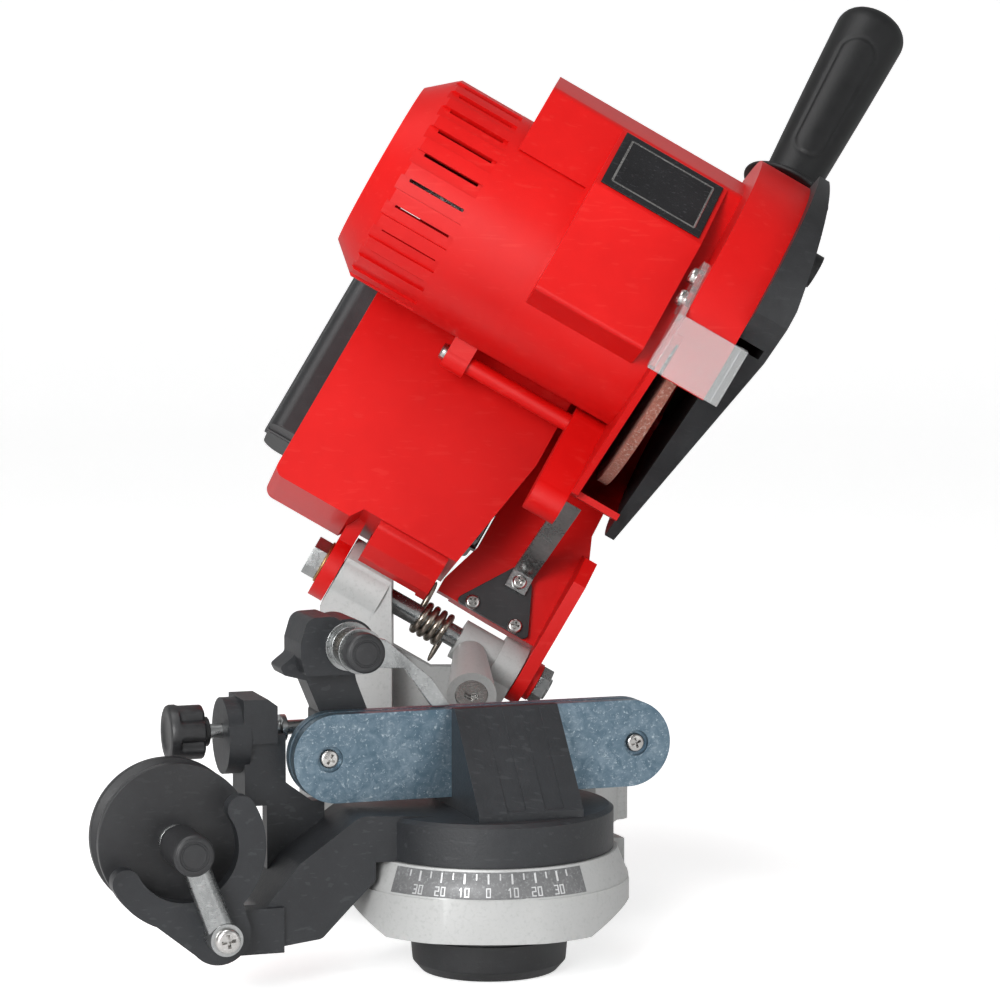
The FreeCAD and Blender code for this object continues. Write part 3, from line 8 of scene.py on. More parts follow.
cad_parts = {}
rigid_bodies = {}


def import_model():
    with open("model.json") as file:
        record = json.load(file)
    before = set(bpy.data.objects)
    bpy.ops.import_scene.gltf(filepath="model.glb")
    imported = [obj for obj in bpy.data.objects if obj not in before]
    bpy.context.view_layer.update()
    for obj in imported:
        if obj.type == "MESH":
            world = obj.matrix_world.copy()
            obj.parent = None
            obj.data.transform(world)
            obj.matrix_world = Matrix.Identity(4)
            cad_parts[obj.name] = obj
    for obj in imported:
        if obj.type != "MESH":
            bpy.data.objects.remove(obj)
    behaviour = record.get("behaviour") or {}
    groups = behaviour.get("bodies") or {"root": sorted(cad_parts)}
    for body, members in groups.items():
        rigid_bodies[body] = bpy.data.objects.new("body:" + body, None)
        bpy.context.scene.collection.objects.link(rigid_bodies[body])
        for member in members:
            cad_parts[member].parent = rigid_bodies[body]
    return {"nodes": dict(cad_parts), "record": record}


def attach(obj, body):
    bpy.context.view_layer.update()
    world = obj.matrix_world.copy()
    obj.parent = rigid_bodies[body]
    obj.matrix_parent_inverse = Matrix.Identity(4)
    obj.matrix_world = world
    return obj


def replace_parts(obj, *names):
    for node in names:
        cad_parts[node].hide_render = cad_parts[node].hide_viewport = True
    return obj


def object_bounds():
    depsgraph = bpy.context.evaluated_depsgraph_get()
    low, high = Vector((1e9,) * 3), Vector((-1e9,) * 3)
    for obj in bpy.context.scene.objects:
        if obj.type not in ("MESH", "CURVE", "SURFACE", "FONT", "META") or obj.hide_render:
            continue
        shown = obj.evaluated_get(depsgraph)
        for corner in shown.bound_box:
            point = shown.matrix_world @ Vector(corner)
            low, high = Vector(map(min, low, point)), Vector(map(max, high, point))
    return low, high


for leftover in list(bpy.data.objects):  # start from an empty scene
    bpy.data.objects.remove(leftover)
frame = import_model()
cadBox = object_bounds()
nodes = frame["nodes"]
print("frame loaded:", len(nodes), "nodes")

mm = 0.001

# where the head and the vise stand, the same values as the solids
headPlace = {
    "hinge": (-13.5, 10.0, 77.0),
    "tilt": 30.0,  # slope of the hinge
    "lean": 20.0,  # raised head leans back
}
visePlace = {
    "centre": (11.5, -135.0),
    "yaw": 18.5,
}


def headMatrix():
    # x along the hinge, -y forward, z up in the leaning head
    tilt = math.radians(headPlace["tilt"])
    lean = math.radians(headPlace["lean"])
    along = Vector((math.cos(tilt), 0, -math.sin(tilt)))
    up = Vector((math.sin(tilt), 0, math.cos(tilt)))
    away = Vector((0, 1, 0))
    leanUp = up * math.cos(lean) + away * math.sin(lean)
    leanAway = away * math.cos(lean) - up * math.sin(lean)
    turn = Matrix((along, leanAway, leanUp)).transposed().to_4x4()
    return Matrix.Translation(Vector(headPlace["hinge"]) * mm) @ turn


def viseMatrix():
    x, y = visePlace["centre"]
    turn = Matrix.Rotation(math.radians(visePlace["yaw"]), 4, "Z")
    return Matrix.Translation(Vector((x, y, 0)) * mm) @ turn


onHead = headMatrix()
onVise = viseMatrix()


def newGroup(name, inputs, outputs):
    group = bpy.data.node_groups.new(name, "ShaderNodeTree")
    for label, kind, value in inputs:
        socket = group.interface.new_socket(label, in_out="INPUT", socket_type=kind)
        if value is not None:
            socket.default_value = value
    for label, kind in outputs:
        group.interface.new_socket(label, in_out="OUTPUT", socket_type=kind)
    start = group.nodes.new("NodeGroupInput")
    end = group.nodes.new("NodeGroupOutput")
    return group, start, end


def addNode(tree, kind, values=None, **settings):
    node = tree.nodes.new(kind)
    for key, value in settings.items():
        setattr(node, key, value)
    for key, value in (values or {}).items():
        node.inputs[key].default_value = value
    return node


def addMath(tree, operation, first, second, clamp=False):
    node = addNode(tree, "ShaderNodeMath", operation=operation, use_clamp=clamp)
    for slot, value in enumerate((first, second)):
        if isinstance(value, (int, float)):
            node.inputs[slot].default_value = value
        else:
            tree.links.new(value, node.inputs[slot])
    return node.outputs[0]


def addRamp(tree, source, stops):
    ramp = addNode(tree, "ShaderNodeValToRGB")
    elements = ramp.color_ramp.elements
    while len(elements) < len(stops):
        elements.new(0.5)
    for element, (position, value) in zip(elements, stops):
        element.position = position
        element.color = (value, value, value, 1) if isinstance(value, (int, float)) else (*value, 1)
    tree.links.new(source, ramp.inputs["Fac"])
    return ramp.outputs["Color"]


def makeDriftGroup():
    # slow change of tone over a surface, with a finer mottle on top
    inputs = [("Scale", "NodeSocketFloat", 20.0), ("Mottle", "NodeSocketFloat", 0.3)]
    outputs = [("Drift", "NodeSocketFloat")]
    group, start, end = newGroup("toneDrift", inputs, outputs)
    where = addNode(group, "ShaderNodeTexCoord")
    slow = addNode(group, "ShaderNodeTexNoise", {"Detail": 3.0, "Roughness": 0.5})
    fine = addNode(group, "ShaderNodeTexNoise", {"Detail": 5.0, "Roughness": 0.65})
    group.links.new(where.outputs["Object"], slow.inputs["Vector"])
    group.links.new(where.outputs["Object"], fine.inputs["Vector"])
    group.links.new(start.outputs["Scale"], slow.inputs["Scale"])
    group.links.new(addMath(group, "MULTIPLY", start.outputs["Scale"], 9.0), fine.inputs["Scale"])
    mottled = addMath(group, "MULTIPLY", fine.outputs["Fac"], start.outputs["Mottle"])
    rest = addMath(group, "SUBTRACT", 1.0, start.outputs["Mottle"])
    smooth = addMath(group, "MULTIPLY", slow.outputs["Fac"], rest)
    group.links.new(addMath(group, "ADD", mottled, smooth, True), end.inputs["Drift"])
    return group


def makeGrainGroup():
    # fine moulded or cast grain: tiny cells softened by noise
    inputs = [("Scale", "NodeSocketFloat", 1500.0), ("Softness", "NodeSocketFloat", 0.5)]
    outputs = [("Height", "NodeSocketFloat"), ("Speck", "NodeSocketFloat")]
    group, start, end = newGroup("fineGrain", inputs, outputs)
    where = addNode(group, "ShaderNodeTexCoord")
    cells = addNode(group, "ShaderNodeTexVoronoi", feature="SMOOTH_F1")
    noise = addNode(group, "ShaderNodeTexNoise", {"Detail": 4.0, "Roughness": 0.7})
    group.links.new(where.outputs["Object"], cells.inputs["Vector"])
    group.links.new(where.outputs["Object"], noise.inputs["Vector"])
    group.links.new(start.outputs["Scale"], cells.inputs["Scale"])
    group.links.new(addMath(group, "MULTIPLY", start.outputs["Scale"], 0.6), noise.inputs["Scale"])
    hard = addMath(group, "SUBTRACT", 1.0, start.outputs["Softness"])
    cellPart = addMath(group, "MULTIPLY", cells.outputs["Distance"], hard)
    noisePart = addMath(group, "MULTIPLY", noise.outputs["Fac"], start.outputs["Softness"])
    group.links.new(addMath(group, "ADD", cellPart, noisePart), end.inputs["Height"])
    speck = addRamp(group, noise.outputs["Fac"], [(0.52, 0.0), (0.72, 1.0)])
    group.links.new(speck, end.inputs["Speck"])
    return group


def makeScratchGroup():
    # thin long marks in two directions
    inputs = [("Scale", "NodeSocketFloat", 60.0), ("Amount", "NodeSocketFloat", 0.5)]
    outputs = [("Mask", "NodeSocketFloat")]
    group, start, end = newGroup("thinScratches", inputs, outputs)
    where = addNode(group, "ShaderNodeTexCoord")
    masks = []
    for turn, stretch in (((0.2, 0.5, 0.3), (1.0, 14.0, 9.0)), ((1.1, 0.3, 2.0), (1.0, 11.0, 13.0))):
        place = addNode(group, "ShaderNodeMapping", {"Rotation": turn, "Scale": stretch})
        noise = addNode(group, "ShaderNodeTexNoise", {"Detail": 2.0, "Roughness": 0.4})
        group.links.new(where.outputs["Object"], place.inputs["Vector"])
        group.links.new(place.outputs["Vector"], noise.inputs["Vector"])
        group.links.new(start.outputs["Scale"], noise.inputs["Scale"])
        masks.append(addRamp(group, noise.outputs["Fac"], [(0.66, 0.0), (0.70, 1.0)]))
    both = addMath(group, "MAXIMUM", masks[0], masks[1])
    group.links.new(addMath(group, "MULTIPLY", both, start.outputs["Amount"]), end.inputs["Mask"])
    return group


def makePlatingGroup():
    # cloudy zinc plating: patches, small pits and rub marks
    group, start, end = newGroup("zincCloud", [("Scale", "NodeSocketFloat", 90.0)],
                                 [("Cloud", "NodeSocketFloat"), ("Pits", "NodeSocketFloat")])
    where = addNode(group, "ShaderNodeTexCoord")
    bend = addNode(group, "ShaderNodeTexNoise", {"Detail": 5.0, "Roughness": 0.6, "Distortion": 1.4})
    pits = addNode(group, "ShaderNodeTexNoise", {"Detail": 6.0, "Roughness": 0.75})
    group.links.new(where.outputs["Object"], bend.inputs["Vector"])
    group.links.new(where.outputs["Object"], pits.inputs["Vector"])
    group.links.new(start.outputs["Scale"], bend.inputs["Scale"])
    group.links.new(addMath(group, "MULTIPLY", start.outputs["Scale"], 5.0), pits.inputs["Scale"])
    group.links.new(addRamp(group, bend.outputs["Fac"], [(0.35, 0.0), (0.65, 1.0)]), end.inputs["Cloud"])
    group.links.new(addRamp(group, pits.outputs["Fac"], [(0.57, 0.0), (0.66, 1.0)]), end.inputs["Pits"])
    return group


toneDrift = makeDriftGroup()
fineGrain = makeGrainGroup()
thinScratches = makeScratchGroup()
zincCloud = makePlatingGroup()


def useGroup(tree, group, values):
    node = addNode(tree, "ShaderNodeGroup")
    node.node_tree = group
    for key, value in values.items():
        node.inputs[key].default_value = value
    return node


def mixColours(tree, factor, first, second):
    node = addNode(tree, "ShaderNodeMix", data_type="RGBA")
    tree.links.new(factor, node.inputs["Factor"])
    for label, value in (("A", first), ("B", second)):
        socket = [s for s in node.inputs if s.name == label and s.type == "RGBA"][0]
        if isinstance(value, tuple):
            socket.default_value = (*value, 1)
        else:
            tree.links.new(value, socket)
    return [s for s in node.outputs if s.type == "RGBA"][0]


def mixNumbers(tree, factor, low, high):
    node = addNode(tree, "ShaderNodeMapRange", {"To Min": low, "To Max": high})
    tree.links.new(factor, node.inputs["Value"])
    return node.outputs["Result"]


def makeFinish(name, recipe):
    material = bpy.data.materials.new(name)
    material.use_nodes = True
    tree = material.node_tree
    shader = tree.nodes["Principled BSDF"]
    drift = useGroup(tree, toneDrift, {"Scale": recipe["driftScale"], "Mottle": recipe["mottle"]})
    grain = useGroup(tree, fineGrain, {"Scale": recipe["grainScale"], "Softness": recipe["grainSoft"]})
    spread = addRamp(tree, drift.outputs["Drift"], [(0.3, 0.0), (0.7, 1.0)])
    colour = mixColours(tree, spread, recipe["dark"], recipe["light"])
    height = grain.outputs["Height"]
    rough = mixNumbers(tree, spread, *recipe["rough"])
    if recipe.get("scratch"):
        marks = useGroup(tree, thinScratches, {"Scale": recipe["scratchScale"], "Amount": recipe["scratch"]})
        colour = mixColours(tree, marks.outputs["Mask"], colour, recipe["scratchColour"])
        rough = addMath(tree, "ADD", rough, addMath(tree, "MULTIPLY", marks.outputs["Mask"], 0.15), True)
    if recipe.get("cloud"):
        cloud = useGroup(tree, zincCloud, {"Scale": recipe["cloudScale"]})
        colour = mixColours(tree, cloud.outputs["Cloud"], colour, recipe["cloud"])
        colour = mixColours(tree, cloud.outputs["Pits"], colour, recipe["pits"])
        rough = addMath(tree, "ADD", rough, addMath(tree, "MULTIPLY", cloud.outputs["Cloud"], 0.12), True)
    if recipe.get("speck"):
        colour = mixColours(tree, grain.outputs["Speck"], colour, recipe["speck"])
    tree.links.new(colour, shader.inputs["Base Color"])
    tree.links.new(rough, shader.inputs["Roughness"])
    bump = addNode(tree, "ShaderNodeBump", {"Strength": recipe["bump"], "Distance": recipe["bumpDepth"]})
    tree.links.new(height, bump.inputs["Height"])
    tree.links.new(bump.outputs["Normal"], shader.inputs["Normal"])
    for key, value in recipe.get("shader", {}).items():
        shader.inputs[key].default_value = value
    return material


finishes = {
    "cast_grey": {
        "dark": (0.40, 0.405, 0.40), "light": (0.46, 0.465, 0.46), "rough": (0.36, 0.46), "driftScale": 18,
        "mottle": 0.25, "grainScale": 1100, "grainSoft": 0.6, "bump": 0.16, "bumpDepth": 0.0003,
        "speck": (0.36, 0.365, 0.36), "shader": {"Metallic": 0.15, "Specular IOR Level": 0.5},
    },
    "zinc_steel": {
        "dark": (0.13, 0.19, 0.24), "light": (0.25, 0.33, 0.39), "rough": (0.30, 0.44), "driftScale": 34,
        "mottle": 0.5, "grainScale": 1300, "grainSoft": 0.7, "bump": 0.18, "bumpDepth": 0.0002,
        "cloud": (0.10, 0.16, 0.21), "cloudScale": 130, "pits": (0.44, 0.52, 0.57), "scratch": 0.3,
        "scratchScale": 90, "scratchColour": (0.55, 0.62, 0.66), "shader": {"Metallic": 0.85},
    },
    "plain_steel": {  # neutral plated steel of the small turned and pressed pieces
        "dark": (0.26, 0.27, 0.27), "light": (0.46, 0.47, 0.47), "rough": (0.22, 0.34), "driftScale": 60,
        "mottle": 0.4, "grainScale": 1500, "grainSoft": 0.6, "bump": 0.12, "bumpDepth": 0.0001,
        "scratch": 0.3, "scratchScale": 140, "scratchColour": (0.66, 0.67, 0.67),
        "shader": {"Metallic": 0.95},
    },
    "scale_band": {  # painted shade: a dark sheet on the sloping band behind the raised figures, standing in for the shading of the upward-facing cone
        "dark": (0.12, 0.122, 0.124), "light": (0.19, 0.192, 0.195), "rough": (0.42, 0.55),
        "driftScale": 120, "mottle": 0.6, "grainScale": 1400, "grainSoft": 0.5, "bump": 0.3,
        "bumpDepth": 0.0002, "speck": (0.30, 0.305, 0.31), "shader": {"Metallic": 0.3},
    },
    "scale_mark": {
        "dark": (0.50, 0.505, 0.51), "light": (0.72, 0.725, 0.73), "rough": (0.28, 0.40), "driftScale": 160,
        "mottle": 0.6, "grainScale": 1600, "grainSoft": 0.6, "bump": 0.15, "bumpDepth": 0.0001,
        "shader": {"Metallic": 0.4},
    },
    "screw_steel": {
        "dark": (0.38, 0.37, 0.36), "light": (0.66, 0.65, 0.63), "rough": (0.18, 0.34), "driftScale": 60,
        "mottle": 0.4, "grainScale": 1600, "grainSoft": 0.6, "bump": 0.15, "bumpDepth": 0.0001,
        "scratch": 0.4, "scratchScale": 120, "scratchColour": (0.85, 0.85, 0.85),
        "shader": {"Metallic": 1.0},
    },
    "spring_steel": {
        "dark": (0.20, 0.17, 0.14), "light": (0.46, 0.41, 0.35), "rough": (0.22, 0.38), "driftScale": 90,
        "mottle": 0.4, "grainScale": 1500, "grainSoft": 0.6, "bump": 0.12, "bumpDepth": 0.0001,
        "shader": {"Metallic": 1.0},
    },
    "black_cast": {
        "dark": (0.009, 0.010, 0.012), "light": (0.020, 0.022, 0.025), "rough": (0.40, 0.55),
        "driftScale": 22, "mottle": 0.35, "grainScale": 1000, "grainSoft": 0.5, "bump": 0.35,
        "bumpDepth": 0.0003, "scratch": 0.12, "scratchScale": 45, "scratchColour": (0.10, 0.105, 0.11),
        "shader": {"Specular IOR Level": 0.5},
    },
    "black_plastic": {
        "dark": (0.010, 0.010, 0.011), "light": (0.024, 0.025, 0.027), "rough": (0.38, 0.52),
        "driftScale": 25, "mottle": 0.3, "grainScale": 1500, "grainSoft": 0.4, "bump": 0.3,
        "bumpDepth": 0.0002, "scratch": 0.08, "scratchScale": 50, "scratchColour": (0.09, 0.09, 0.095),
        "shader": {"Specular IOR Level": 0.5},
    },
    "red_plastic": {
        "dark": (0.50, 0.002, 0.002), "light": (0.62, 0.004, 0.003), "rough": (0.34, 0.44),
        "driftScale": 12, "mottle": 0.2, "grainScale": 1700, "grainSoft": 0.5, "bump": 0.15,
        "bumpDepth": 0.0002, "scratch": 0.06, "scratchScale": 40, "scratchColour": (0.85, 0.12, 0.09),
        "shader": {"Specular IOR Level": 0.32},
    },
    "red_key": {
        "dark": (0.45, 0.005, 0.005), "light": (0.6, 0.01, 0.01), "rough": (0.18, 0.28), "driftScale": 40,
        "mottle": 0.2, "grainScale": 1700, "grainSoft": 0.5, "bump": 0.1, "bumpDepth": 0.0001,
    },
    "label_black": {
        "dark": (0.006, 0.006, 0.007), "light": (0.014, 0.014, 0.016), "rough": (0.16, 0.26),
        "driftScale": 40, "mottle": 0.3, "grainScale": 1800, "grainSoft": 0.6, "bump": 0.06,
        "bumpDepth": 0.0001, "scratch": 0.15, "scratchScale": 90, "scratchColour": (0.12, 0.12, 0.13),
    },
    "grip_rubber": {
        "dark": (0.005, 0.005, 0.0055), "light": (0.011, 0.0115, 0.012), "rough": (0.42, 0.55),
        "driftScale": 25, "mottle": 0.4, "grainScale": 1300, "grainSoft": 0.35, "bump": 0.2,
        "bumpDepth": 0.0002, "shader": {"Specular IOR Level": 0.35},
    },
    "abrasive": {
        "dark": (0.17, 0.055, 0.035), "light": (0.30, 0.10, 0.07), "rough": (0.80, 0.95), "driftScale": 60,
        "mottle": 0.6, "grainScale": 1400, "grainSoft": 0.3, "bump": 0.9, "bumpDepth": 0.0006,
        "speck": (0.42, 0.30, 0.26),
    },
    "bronze": {
        "dark": (0.36, 0.22, 0.09), "light": (0.55, 0.36, 0.16), "rough": (0.3, 0.45), "driftScale": 60,
        "mottle": 0.5, "grainScale": 1400, "grainSoft": 0.5, "bump": 0.2, "bumpDepth": 0.0001,
        "shader": {"Metallic": 1.0},
    },
    "lamination": {
        "dark": (0.16, 0.15, 0.15), "light": (0.32, 0.31, 0.30), "rough": (0.4, 0.55), "driftScale": 80,
        "mottle": 0.5, "grainScale": 1400, "grainSoft": 0.5, "bump": 0.3, "bumpDepth": 0.0002,
        "shader": {"Metallic": 0.8},
    },
    "cell_wrap": {
        "dark": (0.02, 0.12, 0.26), "light": (0.04, 0.2, 0.4), "rough": (0.3, 0.4), "driftScale": 40,
        "mottle": 0.3, "grainScale": 1400, "grainSoft": 0.5, "bump": 0.1, "bumpDepth": 0.0001,
    },
    "board_green": {
        "dark": (0.01, 0.12, 0.05), "light": (0.02, 0.2, 0.08), "rough": (0.3, 0.4), "driftScale": 60,
        "mottle": 0.3, "grainScale": 1400, "grainSoft": 0.5, "bump": 0.1, "bumpDepth": 0.0001,
    },
}


def makeClear():
    # clear polycarbonate with a milky tint; faint haze lifts the roughness
    material = bpy.data.materials.new("clear_plastic")
    material.use_nodes = True
    tree = material.node_tree
    shader = tree.nodes["Principled BSDF"]
    shader.inputs["Transmission Weight"].default_value = 0.82
    shader.inputs["IOR"].default_value = 1.4
    drift = useGroup(tree, toneDrift, {"Scale": 30.0, "Mottle": 0.15})
    grain = useGroup(tree, fineGrain, {"Scale": 1200.0, "Softness": 0.8})
    tree.links.new(mixNumbers(tree, drift.outputs["Drift"], 0.03, 0.12), shader.inputs["Roughness"])
    tint = mixColours(tree, drift.outputs["Drift"], (0.90, 0.93, 0.93), (0.98, 0.99, 0.99))
    tree.links.new(tint, shader.inputs["Base Color"])
    bump = addNode(tree, "ShaderNodeBump", {"Strength": 0.03, "Distance": 0.0001})
    tree.links.new(grain.outputs["Height"], bump.inputs["Height"])
    tree.links.new(bump.outputs["Normal"], shader.inputs["Normal"])
    return material


materials = {name: makeFinish(name, recipe) for name, recipe in finishes.items()}
materials["clear_plastic"] = makeClear()
print("materials made:", len(materials))

slotOf = {entry["node"]: entry["material_slot"] for entry in frame["record"]["subparts"]}
plainSteelNodes = {
    "stop_pawl", "roller_tube", "stop_lead_screw", "hinge_axle", "axle_nut", "roller_axle", "pawl_bolt",
    "clamp_screw", "swivel_stud", "link_strip",
}
softEdges = {  # bevel width in millimetres
    "other": 0.3,
    "base_casting": 1.0,
    "vise_turntable": 0.9,
    "vise_block": 0.6,
    "motor_housing": 1.2,
    "motor_end_cover": 0.5,
    "spine_housing": 1.0,
    "wheel_guard": 0.8,
    "guard_cover": 0.9,
    "battery_pack": 0.7,
    "roller_bracket": 0.9,
    "stop_arm": 0.9,
    "stop_bracket": 0.8,
}
leftSharp = {"battery_cells", "control_board", "motor_fan", "motor_rotor", "motor_stator"}
coils = {"return_spring", "pawl_spring"}


def dressNode(name, node):
    node.data.materials.clear()
    node.data.materials.append(materials["plain_steel" if name in plainSteelNodes else slotOf[name]])
    for face in node.data.polygons:
        face.use_smooth = True
    weld = node.modifiers.new("weld", "WELD")
    weld.merge_threshold = 0.00002
    if name in leftSharp:
        return
    flat = node.modifiers.new("joinFlats", "DECIMATE")
    flat.decimate_type = "DISSOLVE"
    flat.angle_limit = math.radians(0.6)
    if name in coils:
        smooth = node.modifiers.new("roundWire", "SUBSURF")
        smooth.levels = 2
        smooth.render_levels = 2
        return
    bevel = node.modifiers.new("softEdge", "BEVEL")
    bevel.width = softEdges.get(name, softEdges["other"]) * mm
    bevel.segments = 2
    bevel.limit_method = "ANGLE"
    bevel.angle_limit = math.radians(32)
    bevel.use_clamp_overlap = True
    tidy = node.modifiers.new("evenShade", "WEIGHTED_NORMAL")
    tidy.weight = 80


for name, node in nodes.items():
    dressNode(name, node)
print("nodes dressed")


def keepPiece(name, build, body, slot, smoothAngle=35, finish=None):
    # a finished bmesh becomes one piece that rides on its body
    mesh = bpy.data.meshes.new(name)
    bmesh.ops.recalc_face_normals(build, faces=build.faces)
    build.to_mesh(mesh)
    build.free()
    for face in mesh.polygons:
        face.use_smooth = True
    mesh.set_sharp_from_angle(angle=math.radians(smoothAngle))
    mesh.materials.append(materials[finish or slot])
    piece = bpy.data.objects.new(name, mesh)
    bpy.context.scene.collection.objects.link(piece)
    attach(piece, body)
    return piece


def axisFrame(place, point, direction):
    # local z runs along the direction, the origin sits on the point
    turn = Vector(direction).to_track_quat("Z", "Y").to_matrix().to_4x4()
    return place @ Matrix.Translation(Vector(point) * mm) @ turn


def addLathe(build, frameMatrix, profile, steps=40, shape=None):
    # turned form; the profile is (radius, height) in millimetres, and a radius of 0 closes it
    rings = []
    for radius, height in profile:
        if radius == 0:
            rings.append([build.verts.new(frameMatrix @ Vector((0, 0, height * mm)))])
            continue
        ring = []
        for step in range(steps):
            angle = 2 * math.pi * step / steps
            reach = radius + (shape(angle, height) if shape else 0)
            where = Vector((reach * math.cos(angle), reach * math.sin(angle), height))
            ring.append(build.verts.new(frameMatrix @ (where * mm)))
        rings.append(ring)
    for lower, upper in zip(rings, rings[1:]):
        if len(lower) == 1 and len(upper) == 1:
            continue
        for step in range(steps):
            after = (step + 1) % steps
            if len(lower) == 1:
                build.faces.new((lower[0], upper[after], upper[step]))
            elif len(upper) == 1:
                build.faces.new((lower[step], lower[after], upper[0]))
            else:
                build.faces.new((lower[step], lower[after], upper[after], upper[step]))


def crossOutline(arm, half, height):
    corners = []
    for quarter in range(4):
        turn = Matrix.Rotation(math.pi / 2 * quarter, 3, "Z")
        for x, y in ((arm, -half), (arm, half), (half, half)):
            corners.append(turn @ Vector((x, y, height)))
    return corners


def addPanScrew(build, frameMatrix, head, turn=0.0):
    # domed head with a cross recess, and a threaded shank behind it
    radius, high = head["radius"], head["height"]
    spin = frameMatrix @ Matrix.Rotation(math.radians(turn), 4, "Z")
    mouth = crossOutline(radius * 0.56, radius * 0.13, high)
    bottom = crossOutline(radius * 0.34, radius * 0.09, high * 0.35)
    top = [build.verts.new(spin @ (corner * mm)) for corner in mouth]
    deep = [build.verts.new(spin @ (corner * mm)) for corner in bottom]
    for i in range(12):
        j = (i + 1) % 12
        build.faces.new((deep[i], deep[j], top[j], top[i]))
    build.faces.new(deep)
    steps = 24
    rim = []
    for scale, rise in ((0.70, 1.0), (0.86, 0.90), (0.96, 0.68), (1.0, 0.42), (1.0, 0.0)):
        ring = []
        for step in range(steps):
            angle = 2 * math.pi * step / steps
            where = Vector((radius * scale * math.cos(angle), radius * scale * math.sin(angle), high * rise))
            ring.append(build.verts.new(spin @ (where * mm)))
        rim.append(ring)
    for upper, lower in zip(rim, rim[1:]):
        for step in range(steps):
            after = (step + 1) % steps
            build.faces.new((upper[step], lower[step], lower[after], upper[after]))
    edges = [build.edges.get((rim[0][i], rim[0][(i + 1) % steps])) for i in range(steps)]
    edges += [build.edges.get((top[i], top[(i + 1) % 12])) for i in range(12)]
    bmesh.ops.triangle_fill(build, use_beauty=True, edges=edges)
    shank, length = head["shank"], head["length"]
    profile = [(radius, 0.0), (shank, 0.0)]
    ridge = 0.0
    while ridge < length - 1.0:
        profile += [(shank, -ridge - 0.15), (shank - 0.25, -ridge - 0.4)]
        ridge += 0.5 if length < 20 else 2.5
    profile += [(shank * 0.8, -length), (0, -length)]
    addLathe(build, frameMatrix, profile, steps)


caseScrews = {
    "visor": {"radius": 3.8, "height": 2.2, "shank": 1.65, "length": 6.0,
              "at": ((17, -150, 140), (17, -150, 151)), "out": (-1, 0, 0)},
    "stopPlate": {"radius": 3.4, "height": 2.2, "shank": 1.65, "length": 9.0,
                  "at": ((9.5, -6, 16.5), (31.5, -6, 16.5)), "out": (0, -1, 0)},
    "strip": {"radius": 3.4, "height": 2.2, "shank": 1.65, "length": 11.5,
              "at": ((23.6, -8.5, 34.7),), "out": (0, -1, 0)},
    "rearCover": {"radius": 3.0, "height": 1.8, "shank": 1.5, "length": 2.9,
                  "at": ((-90, 5, 28), (-16, 5, 28), (-90, 5, 176), (-8, 5, 176)), "out": (0, 1, 0)},
}
coverScrews = {
    "radius": 4.0, "height": 2.2, "shank": 1.65, "around": (90.0, 146.0), "reach": 79.0,
    "angles": (-12, -52, -140, -190), "face": 59.0, "shoulder": 148.0, "slope": 0.135,
    "sunk": 3.2, "inner": 32.0,
}
railScrews = {  # sunk heads in the front rail, a nut behind the rear one
    "radius": 3.9, "height": 2.1, "shank": 2.45, "length": 14.7,
    "at": ((62.0, -4.0, 44.5), (-69.0, -4.0, 44.5)),
    "nut": 4.04, "nutFrom": 10.6, "nutTo": 13.8,
}
pivotScrew = {"radius": 5.0, "height": 2.8, "shank": 2.95, "length": 29.3, "at": (-121.0, -43.8, -17.5)}
tieScrew = {"radius": 3.8, "height": 2.6, "shank": 2.0, "length": 70.0, "at": (-57, -62, 95)}


def makeScrews():
    build = bmesh.new()
    turn = 12
    for kind in caseScrews.values():
        for place in kind["at"]:
            addPanScrew(build, axisFrame(onHead, place, kind["out"]), kind, turn)
            turn += 31
    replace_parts(keepPiece("caseScrewHeads", build, "head", "screw_steel"), "case_screws")
    build = bmesh.new()
    for angle in coverScrews["angles"]:
        forward = coverScrews["around"][0] + coverScrews["reach"] * math.cos(math.radians(angle))
        up = coverScrews["around"][1] - coverScrews["reach"] * math.sin(math.radians(angle))
        fall = max(0, up - coverScrews["shoulder"]) * coverScrews["slope"]
        seat = coverScrews["face"] - fall - coverScrews["sunk"]
        size = dict(coverScrews, length=seat - coverScrews["inner"])
        addPanScrew(build, axisFrame(onHead, (seat, -forward, up), (1, 0, 0)), size, angle)
    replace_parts(keepPiece("coverScrewHeads", build, "head", "screw_steel"), "guard_cover_screws")
    build = bmesh.new()
    addPanScrew(build, axisFrame(onHead, tieScrew["at"], (-1, 0, 0)), tieScrew, 40)
    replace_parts(keepPiece("longCaseScrew", build, "head", "screw_steel"), "tie_screw")
    build = bmesh.new()
    for turn, place in enumerate(railScrews["at"]):
        seat = axisFrame(onVise, place, (0, -1, 0))
        addPanScrew(build, seat, railScrews, 20 + 40 * turn)
        wide, near, far = railScrews["nut"], -railScrews["nutFrom"], -railScrews["nutTo"]
        nut = [(0, near), (wide - 0.5, near), (wide, near - 0.3)]
        nut += [(wide, far + 0.3), (wide - 0.5, far), (0, far)]
        addLathe(build, seat, nut, 6)
    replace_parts(keepPiece("railScrewSet", build, "vise", "screw_steel"), "rail_screws")
    build = bmesh.new()
    addPanScrew(build, axisFrame(onVise, pivotScrew["at"], (0, -1, 0)), pivotScrew, 8)
    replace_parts(keepPiece("bracketScrew", build, "vise", "screw_steel"), "roller_pivot_screw")


grip = {
    "base": (39.0, -78.0, 230.0), "lean": 4.0, "length": 104.0, "neck": 12.5, "end": 16.3, "tipRound": 9.0,
    "flange": 20.8, "flangeRise": 4.6, "collarFoot": 19.0, "collarTop": 15.5, "bore": 5.05, "boreEnd": 75.2,
    "panelLow": 20.0, "panelHigh": 84.0, "panelHalf": 8.5, "panelTurn": -8.0, "panelGroove": 0.45,
}


